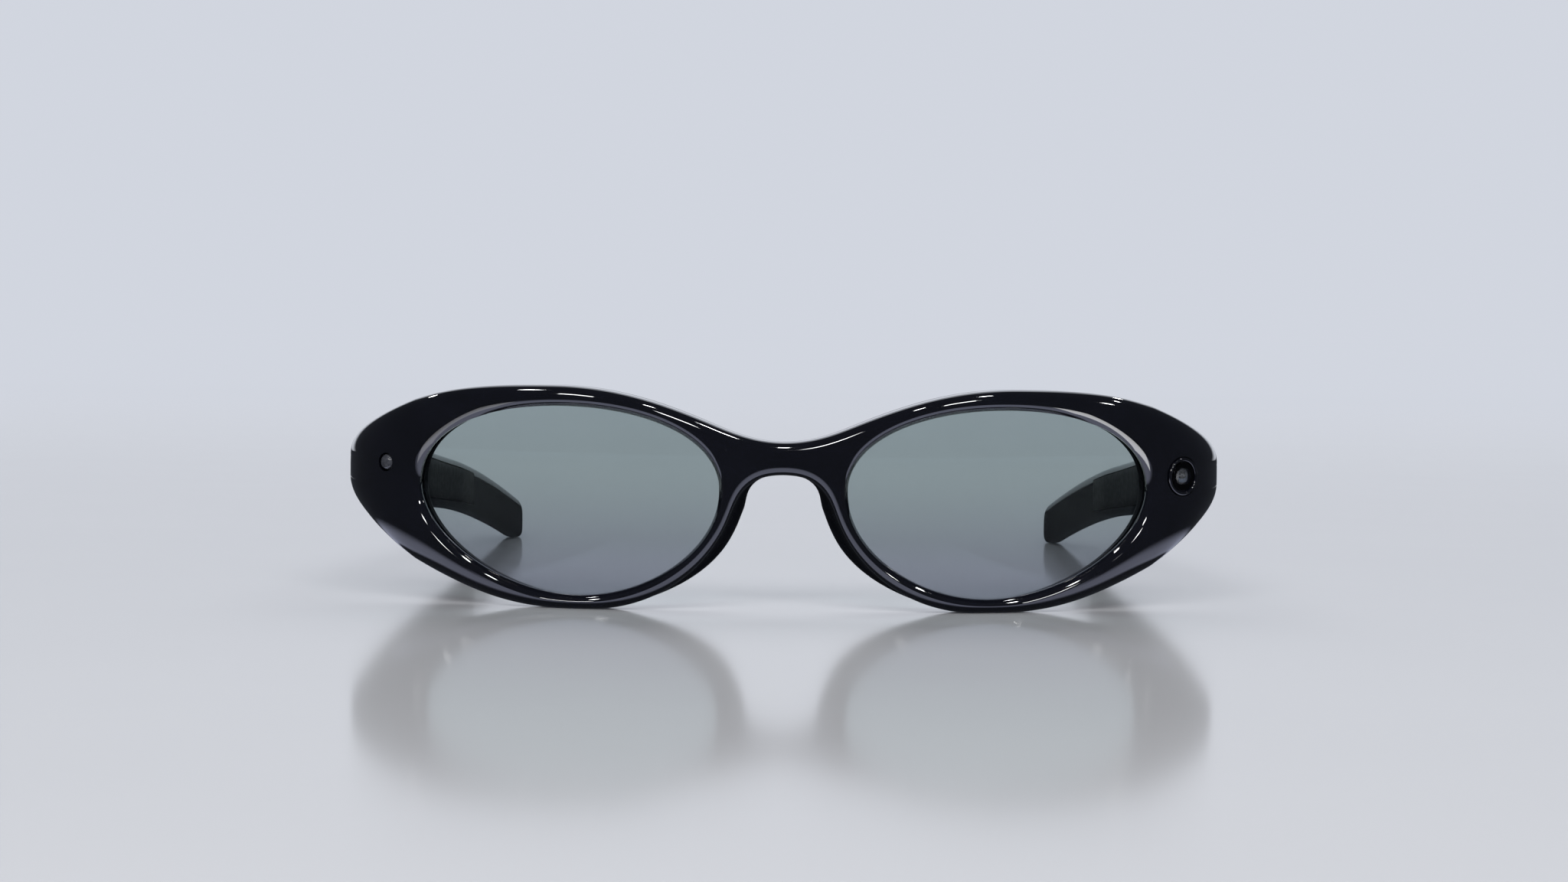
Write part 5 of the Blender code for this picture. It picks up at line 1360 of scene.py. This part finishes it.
def cable_passage(side):
    """The passage for the cable through both joint faces."""
    room = (CABLE_THICKNESS + CABLE_ROOM, PASSAGE_LENGTH + CABLE_ROOM, CABLE_WIDTH + CABLE_ROOM)
    return box_mesh(room, at_pin(side, CABLE_X, PASSAGE_SHIFT))


for side, name in SIDES:
    make_piece(f"{name}_screw", screw_mesh(side), "front", "steel", f"{name}_hinge_screw")
recesses = [leaf_recess(side, "front") for side, _ in SIDES]
rear_mesh = cut(rear_mesh, *recesses, *(cable_passage(side) for side, _ in SIDES))
make_piece("rear_shell", rear_mesh, "front", "rear_black", "rear_frame")

# %% [markdown]
# ## Hinge cables
#
# A flexible circuit crosses each hinge, and it bends as the temple folds. Two stiff halves would tear
# apart there. So the cable is one strip, and its rings crowd on a short stretch at the pin, where it
# bends.

# %% Hinge cables
CABLE_BEND, BEND_RINGS, END_RINGS = 0.6 * mm, 40, 8
CABLE_AROUND, CABLE_POWER = 24, 0.4


def cable_mesh(name):
    """Flexible circuit: a flat oval section carried straight back, in steps that crowd where it bends."""
    low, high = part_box(f"{name}_hinge_cable")
    middle, half = np.array((low + high) / 2), np.array((high - low) / 2)
    bend = np.linspace(PIN.y - CABLE_BEND, PIN.y + CABLE_BEND, BEND_RINGS)
    before = np.linspace(low.y, bend[0], END_RINGS)[:-1]
    after = np.linspace(bend[-1], high.y, END_RINGS)[1:]
    y = np.concatenate([before, bend, after])[:, None]
    a = np.linspace(0, 2 * math.pi, CABLE_AROUND, endpoint=False)[None, :]
    x = middle[0] + half[0] * signed_power(np.cos(a), CABLE_POWER)
    z = middle[2] + half[2] * signed_power(np.sin(a), CABLE_POWER)
    return tube_mesh(np.stack(np.broadcast_arrays(x, y, z), -1))


for side, name in SIDES:
    cable = make_piece(f"{name}_cable", cable_mesh(name), None, "flex", f"{name}_hinge_cable")
    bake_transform(cable)

# %% [markdown]
# ## Pills, slots and ports
#
# The temples have slots for sound below the speakers, a pinhole for each microphone, and openings
# for a button and a slider. Slots, openings and the two knobs are all pills: a stadium outline, inset
# ring by ring towards its top. So one function makes the cutters and the pieces that fit them.

# %% Pills, slots and ports
SPEAKER_START, SPEAKER_LENGTH, SPEAKER_THICKNESS, MESH_THICKNESS = 71 * mm, 15 * mm, 2.6 * mm, 0.4 * mm
SLOT_COUNT, SLOT_PITCH, SLOT_WIDTH, SLOT_SHARE, SLOT_REACH = 5, 2.2 * mm, 1.0 * mm, 0.8, 4.2 * mm
PORT_START, PORT_SIZE, PORT_LOW, PORT_RADIUS, PORT_REACH = 1.6 * mm, 2.4 * mm, 0.5 * mm, 0.4 * mm, 6 * mm
PILL_AROUND, PILL_STEPS, PILL_CROWN, PORT_STEPS = 96, 8, (0.15, 0.97), 32
NEVER_ZERO = 1e-12


def pill_mesh(length, width, low, high, place, edge=0.0, rise=0.0):
    """A pill with a rounded top edge and a crown: rings of a stadium outline, inset as they rise."""
    a = np.linspace(0, 2 * math.pi, PILL_AROUND, endpoint=False)
    turn = np.linspace(0, math.pi / 2, PILL_STEPS)
    over = edge + (width / 2 - edge) * np.linspace(*PILL_CROWN, PILL_STEPS)
    inset = np.concatenate([[0], edge * (1 - np.cos(turn)), over])
    crown = rise * (1 - ((width / 2 - over) / (width / 2 - edge + NEVER_ZERO)) ** 2)
    z = np.concatenate([[low], high - edge + edge * np.sin(turn), high + crown])
    r = (width / 2 - inset)[:, None]
    x = r * np.cos(a) + np.sign(np.cos(a)) * (length - width) / 2
    points = np.stack([x, r * np.sin(a) + 0 * x, np.broadcast_to(z[:, None], x.shape)], -1)
    return tube_mesh(placed(points, place))


def row_of(count, pitch):
    """Frames in a row along X about the middle, each turned to lie across it."""
    across = Matrix.Rotation(math.pi / 2, 4, "Z")
    return [Matrix.Translation(((i - (count - 1) / 2) * pitch, 0, 0)) @ across for i in range(count)]


def sound_slots(side):
    """Cutters for the speaker's slots in the temple's underside."""
    n = -SHELL_WALL - FIT - SPEAKER_LENGTH**2 / (8 * TEMPLE_BOW) - SPEAKER_THICKNESS / 2
    low = -bay_half(SPEAKER_START + SPEAKER_LENGTH) + FIT + MESH_THICKNESS / 2
    middle = temple_frame(SPEAKER_START + SPEAKER_LENGTH / 2, n, side, low)
    size = SLOT_SHARE * SPEAKER_THICKNESS, SLOT_WIDTH, -SLOT_REACH, -MESH_THICKNESS / 2
    return [pill_mesh(*size, middle @ place) for place in row_of(SLOT_COUNT, SLOT_PITCH)]


def microphone_port(side):
    """Cutter for the microphone's pinhole in the temple's underside."""
    s = BAY_START + PORT_START
    above = -bay_half(s + PORT_SIZE / 2) + FIT + PORT_LOW
    place = temple_frame(s, -SHELL_WALL - FIT - PORT_SIZE / 2, side, above)
    return rod_mesh(PORT_RADIUS, -PORT_REACH, -PORT_LOW, place, PORT_STEPS)


print("slots:", SLOT_COUNT, "of", SLOT_WIDTH / mm, "mm on each side")

# %% [markdown]
# ## Temple shells and covers
#
# The temple's shell is one tube with its openings cut out of it: the bay, the rebate of the cover,
# the hinge's recess, the cable's passage, slots for sound and a pinhole for the microphone. Boolean
# cuts leave the crisp edges of a milled or moulded opening.

# %% Temple shells and covers
BUTTON_START, BUTTON_LENGTH, BUTTON_WIDTH, BUTTON_PLAY = 15 * mm, 11 * mm, 2.6 * mm, 0.15 * mm
SLIDER_START, SLIDER_LENGTH, SLIDER_WIDTH, SLIDER_TRAVEL = 11 * mm, 4.0 * mm, 2.2 * mm, 2.0 * mm
SLIDER_PLAY, CUT_PAST, CUT_BELOW = 0.2 * mm, 4 * mm, 1 * mm

button_s = BUTTON_START + BUTTON_LENGTH / 2
button_frame = temple_frame(button_s, -temple_depth(button_s) / 2, -1)
slider_s = SLIDER_START + SLIDER_LENGTH / 2
slider_frame = temple_frame(slider_s, -temple_depth(slider_s), 1) @ Matrix.Rotation(math.pi / 2, 4, "X")


def shell_floor(s):
    """Depth of the bay's floor: the wall behind the temple's outer face."""
    return 0 * s + SHELL_WALL


def rebate_floor(s):
    """Depth of the ledge that the cover lies on."""
    return temple_depth(s) - (COVER_THICKNESS + FIT)


def button_opening():
    """Cutter for the button in the right temple's top."""
    size = BUTTON_LENGTH + 2 * BUTTON_PLAY, BUTTON_WIDTH + 2 * BUTTON_PLAY
    return pill_mesh(*size, bay_half(button_s) - CUT_BELOW, temple_half(button_s) + CUT_PAST, button_frame)


def slider_opening():
    """Cutter for the slider and its travel in the left cover."""
    size = SLIDER_LENGTH + SLIDER_TRAVEL + 2 * SLIDER_PLAY, SLIDER_WIDTH + 2 * SLIDER_PLAY
    travel = Matrix.Translation((SLIDER_TRAVEL / 2, 0, 0))
    return pill_mesh(*size, -CUT_PAST, CUT_PAST, slider_frame @ travel)


for side, name in SIDES:
    cutters = [
        bay((BAY_START, BAY_END), shell_floor, SHELL_WALL + COVER_LEDGE, side),
        bay(REBATE_ENDS, rebate_floor, SHELL_WALL, side),
        leaf_recess(side, "temple"), cable_passage(side), microphone_port(side), *sound_slots(side),
    ]
    cover = cover_mesh(side)
    if name == "right":
        cutters.append(button_opening())
    else:
        cover = cut(cover, slider_opening())
    shell = cut(tube_mesh(temple_rings(DROOP, side)), *cutters)
    body = f"{name}_temple"
    make_piece(f"{name}_shell", shell, body, "temple_black", f"{name}_temple_shell")
    make_piece(f"{name}_cover", cover, body, "satin_black", f"{name}_temple_cover")

# %% [markdown]
# ## Button and slider
#
# The capture button is a crowned pill in the right temple's top, and the power switch a small pill
# with three ridges for the fingernail, inside the left temple. The ridges are joined to the knob by a
# Boolean, so that it is one closed skin. Each rides on its own body and moves with its joint.

# %% Button and slider
BUTTON_PROUD, BUTTON_EDGE, BUTTON_CROWN = 0.7 * mm, 0.35 * mm, 0.12 * mm
SLIDER_PROUD, SLIDER_EDGE = 0.5 * mm, 0.2 * mm
RIDGE_COUNT, RIDGE_PITCH, RIDGE_WIDTH, RIDGE_PROUD = 3, 0.8 * mm, 0.4 * mm, 0.14 * mm
RIDGE_LENGTH, RIDGE_EDGE = 0.7 * SLIDER_WIDTH, 0.1 * mm

low, high = bay_half(button_s) - BUTTON_PLAY, temple_half(button_s) + BUTTON_PROUD
button = pill_mesh(BUTTON_LENGTH, BUTTON_WIDTH, low, high, button_frame, BUTTON_EDGE, BUTTON_CROWN)
make_piece("button_cap", button, "capture_button", "satin_black", "capture_button")
low = -COVER_THICKNESS - SLIDER_PLAY
knob = pill_mesh(SLIDER_LENGTH, SLIDER_WIDTH, low, SLIDER_PROUD, slider_frame, SLIDER_EDGE)
ridge = RIDGE_LENGTH, RIDGE_WIDTH, 0.0, SLIDER_PROUD + RIDGE_PROUD
knob = united(knob, *(
    pill_mesh(*ridge, slider_frame @ place, RIDGE_EDGE) for place in row_of(RIDGE_COUNT, RIDGE_PITCH)
))
make_piece("slider_knob", knob, "power_slider", "satin_black", "power_slider")

# %% [markdown]
# ## Table and backdrop
#
# The glasses stand on a pale, slightly glossy table that sweeps up into a plain backdrop, like a
# sheet of paper in a studio: one profile, carried along X. Its far part glows in the backdrop's
# colour, which keeps the background even without more light on the glasses. Black polish shows what
# it mirrors. So mirror rays see painted shade there, a glow as dark as the room, and just before the
# rims a glowing lilac strip, a painted reflection for the rims' funnels.

# %% Table and backdrop
FLOOR_FRONT, SWEEP_START, SWEEP_RADIUS, WALL_TOP, FLOOR_HALF = -3.0, 1.0, 0.8, 3.0, 4.0
SWEEP_STEPS, FLOOR_COLUMNS = 32, 9
FLOOR_COLOURS = (0.690, 0.697, 0.725), (0.700, 0.707, 0.735)
FLOOR_CLOUD, FLOOR_GRAIN, FLOOR_ROUGH = 60 * mm, 25 * mm, (0.118, 0.122)
# The room's dark colour is also painted shade: mirror rays see the near table glow this dark.
BACKDROP, ROOM_AND_PAINTED_SHADE = (0.64, 0.67, 0.74), (0.030, 0.033, 0.040)
GLOW_RISE, FAR_RISE = (0.12, 1.2), (0.6, 1.8)
WALL_RISE, WALL_SIDE = (0.8, 1.2), (0.75, 1.3)
STRIP_NEAR, STRIP_FAR, STRIP_BACK = (0.0, 3 * mm), (9 * mm, 25 * mm), (-0.05, 0.0)
# The strip's lilac glow is a painted reflection, seen only by mirror rays on the rims.
STRIP_LONG, STRIP_SIDE, PAINTED_STRIP_REFLECTION = 0.6, (48 * mm, 58 * mm), (0.50, 0.53, 0.70)


def sweep_mesh():
    """The table's profile, a flat, a quarter circle and an upright, carried along X."""
    turn = np.linspace(0, math.pi / 2, SWEEP_STEPS)
    bend = SWEEP_START + SWEEP_RADIUS * np.sin(turn)
    y = np.concatenate([[FLOOR_FRONT], bend, [SWEEP_START + SWEEP_RADIUS]])[:, None]
    z = np.concatenate([[0], SWEEP_RADIUS * (1 - np.cos(turn)), [WALL_TOP]])[:, None]
    x = np.linspace(-FLOOR_HALF, FLOOR_HALF, FLOOR_COLUMNS)[None, :]
    points = np.stack(np.broadcast_arrays(x, y, z), -1)
    quads = grid_faces(len(y), FLOOR_COLUMNS, ring=False)
    mesh = bpy.data.meshes.new("table")
    mesh.from_pydata(points.reshape(-1, 3).tolist(), [], quads.reshape(-1, 4).tolist())
    mesh.shade_smooth()
    return mesh


def rim_gap(f):
    """Distance of the table's points from the rims, which are two arcs in plan.

    Both sides are folded onto one. A point past the joint of the arcs is measured from the tight one."""
    depth = f.vector("MULTIPLY", f.coordinates, (0.0, 1.0, 0.0))
    folded = f.vector("MULTIPLY_ADD", f.vector("ABSOLUTE", f.coordinates), (1.0, 0.0, 0.0), depth)
    middle = Vector((0, FRONT_Y + BASE_RADIUS, 0))
    turn = Vector((math.sin(CORNER_ANGLE), -math.cos(CORNER_ANGLE), 0))
    corner = middle + (BASE_RADIUS - CORNER_RADIUS) * turn
    wide = f.math("SUBTRACT", f.distance(folded, middle), BASE_RADIUS)
    tight = f.math("SUBTRACT", f.distance(folded, corner), CORNER_RADIUS)
    past = f.vector("DOT_PRODUCT", f.vector("SUBTRACT", folded, middle), (-turn.y, turn.x, 0.0))
    past = f.math("GREATER_THAN", past, 0.0)
    return f.math("ADD", wide, f.math("MULTIPLY", past, f.math("SUBTRACT", tight, wide)))


def painted_reflection_strip(f, aside, back):
    """1 on the strip of table before the rims that glows for mirrors, a painted reflection; longer in the
    middle.
    """
    gap = rim_gap(f)
    inner = f.rest_of(f.rise(aside, *STRIP_SIDE))
    reach = f.math("MULTIPLY", gap, f.rest_of(f.math("MULTIPLY", inner, STRIP_LONG)))
    strip = f.math("SUBTRACT", f.rise(gap, *STRIP_NEAR), f.rise(reach, *STRIP_FAR))
    return f.math("MULTIPLY", strip, f.rest_of(f.rise(back, *STRIP_BACK)))


def table_finish():
    """Pale satin table. Its far part glows as a plain backdrop, seen, mirrored or through glass."""
    f = Finish("table")
    path = f.add("ShaderNodeLightPath").outputs
    aside, back = f.math("ABSOLUTE", f.along("X")), f.along("Y")
    f.wear(f.ramp(f.noise(FLOOR_CLOUD), *FLOOR_COLOURS), f.span(f.noise(FLOOR_GRAIN), *FLOOR_ROUGH))
    mirror = f.math("GREATER_THAN", path["Is Glossy Ray"], path["Is Transmission Ray"])
    # Painted shade and painted reflection: mirror rays see a dark glow, but a lilac one on the strip.
    dark = f.either(painted_reflection_strip(f, aside, back), f.glow(ROOM_AND_PAINTED_SHADE), f.glow(PAINTED_STRIP_REFLECTION))
    near = f.either(mirror, f.shader.outputs["BSDF"], dark)
    wall = f.math("MULTIPLY", f.rise(back, *WALL_RISE), f.rest_of(f.rise(aside, *WALL_SIDE)))
    seen = f.math("MAXIMUM", path["Is Camera Ray"], path["Is Transmission Ray"])
    away = f.rise(f.vector("LENGTH", f.coordinates), *FAR_RISE)
    far = f.math("MULTIPLY", seen, f.math("MAXIMUM", away, f.rise(back, *GLOW_RISE)))
    far = f.math("MAXIMUM", far, f.math("MULTIPLY", mirror, wall))
    f.show(f.either(far, near, f.glow(BACKDROP)))
    return f.material


table = bpy.data.objects.new("table", sweep_mesh())
scene.collection.objects.link(table)
table.data.materials.append(table_finish())
print("table:", len(table.data.polygons), "faces")

# %% [markdown]
# ## Lamps
#
# A wide key lamp in front and a wide fill behind light the glasses evenly. Polish would mirror them
# as large white fields, so mirror rays don't see them. Small panels and sparks draw the bright points
# of polish instead, and light linking keeps them off the table. Boards on three sides light only the
# table, whose gloss mirrors them and stays pale. From behind, it shows a greyer band where two boards
# leave a gap. Small stacked cards before the rims light only the front shell, as the soft glow under
# its outer corners.

# %% Lamps
AIM = Vector((0, FRONT_Y, CROWN_HEIGHT))
KEY = {"place": (0.0, -1.30, 0.95), "size": (1.5, 0.5), "power": 20.0}
FILL = {"place": (0.0, 1.25, 1.35), "size": (2.4, 1.0), "power": 18.0}
PANEL_SIZE, PANEL_POWER = (0.17, 0.14), 1.1
PANEL_PLACES = (-0.62, -1.25, 0.80), (-0.12, -1.35, 0.74), (0.46, -1.30, 0.84)
SPARK_DISTANCE, SPARK_SIZE, SPARK_POWER = 1.5, (0.07, 0.07), 0.7
SPARK_WAYS = (
    (-0.40, -0.27, 0.88), (0.24, -0.30, 0.93), (0.0, -0.50, 0.87), (0.62, -0.05, 0.79),
    (0.66, -0.62, 0.42), (-0.55, 0.50, 0.67), (0.40, 0.60, 0.69),
)
BOARD_SIZE, BOARD_POWER = (6.0, 1.0), 11.0
BOARD_PLACES = (-3.2, 0.0, 0.5), (3.2, 0.0, 0.5), (0.0, -3.4, 0.5)
CARD_SIZES, CARD_GLOWS = (2 * mm, 3 * mm, 4 * mm, 6 * mm), (2.4, 0.6)
CARD_PLACE = Vector((55.5 * mm, -80 * mm, 15 * mm))
CARD_AIM = Vector((58 * mm, -70.4 * mm, 29 * mm))


def receivers(name, obj, state="INCLUDE"):
    """A collection for light linking: a lamp that has it lights only this object, or all but this one."""
    made = bpy.data.collections.new(name)
    made.objects.link(obj)
    made.collection_objects[0].light_linking.link_state = state
    return made


def lamp_at(name, place, size, power, aim=AIM, lights=None):
    """A rectangular lamp that the camera doesn't see, also not through glass."""
    made = bpy.data.objects.new(name, bpy.data.lights.new(name, "AREA"))
    scene.collection.objects.link(made)
    made.data.shape = "RECTANGLE"
    made.data.size, made.data.size_y = size
    made.data.energy = power
    made.location = place
    made.rotation_euler = (aim - Vector(place)).to_track_quat("-Z", "Y").to_euler()
    made.visible_camera = made.visible_transmission = False
    made.light_linking.receiver_collection = lights
    return made


lamp_at("key", **KEY).visible_glossy = False
lamp_at("fill", **FILL).visible_glossy = False
off_table = receivers("kept_from_glints", table, "EXCLUDE")
for i, place in enumerate(PANEL_PLACES):
    lamp_at(f"panel_{i}", place, PANEL_SIZE, PANEL_POWER, lights=off_table)
for i, way in enumerate(SPARK_WAYS):
    lamp_at(f"spark_{i}", Vector(way) * SPARK_DISTANCE, SPARK_SIZE, SPARK_POWER, lights=off_table)
on_table = receivers("shows_boards", table)
for i, place in enumerate(BOARD_PLACES):
    lamp_at(f"board_{i}", place, BOARD_SIZE, BOARD_POWER, lights=on_table)
on_front = receivers("shows_cards", bpy.data.objects["front_shell"])
for (side, name), glow in zip(SIDES, CARD_GLOWS):
    across = Vector((side, 1, 1))
    for size in CARD_SIZES:
        power = glow * math.pi * size**2
        lamp_at(f"{name}_card", CARD_PLACE * across, (size, size), power, CARD_AIM * across, on_front)
print("lamps:", len(bpy.data.lights))

# %% [markdown]
# ## Room
#
# Past the table's edge lies the world. A picture of a studio could fill it, but the gloss would show
# that picture. Here it is a dark room for light and for mirrors, which keeps black polish black.
# Straight looks, also through the lenses, see a pale sky, so that no dark edge shows from the side.

# %% Room
OPEN_SKY = (0.66, 0.69, 0.76)

world = bpy.data.worlds.new("room")
scene.world = world
world.use_nodes = True
nodes, join = world.node_tree.nodes, world.node_tree.links.new
room, sky = nodes["Background"], nodes.new("ShaderNodeBackground")
room.inputs["Color"].default_value = (*ROOM_AND_PAINTED_SHADE, 1)
sky.inputs["Color"].default_value = (*OPEN_SKY, 1)
path = nodes.new("ShaderNodeLightPath").outputs
straight, seen = nodes.new("ShaderNodeMath"), nodes.new("ShaderNodeMath")
straight.operation, seen.operation = "GREATER_THAN", "MAXIMUM"
join(path["Is Transmission Ray"], straight.inputs[0])
join(path["Glossy Depth"], straight.inputs[1])
join(path["Is Camera Ray"], seen.inputs[0])
join(straight.outputs["Value"], seen.inputs[1])
choose = nodes.new("ShaderNodeMixShader")
for source, socket in zip((seen.outputs["Value"], room.outputs[0], sky.outputs[0]), choose.inputs):
    join(source, socket)
join(choose.outputs["Shader"], nodes["World Output"].inputs["Surface"])
print("room:", len(nodes), "nodes")

# %% [markdown]
# ## Sizes
#
# The dressed glasses have to stay as large as the model that they cover. The two boxes could be
# compared by eye in the viewport.
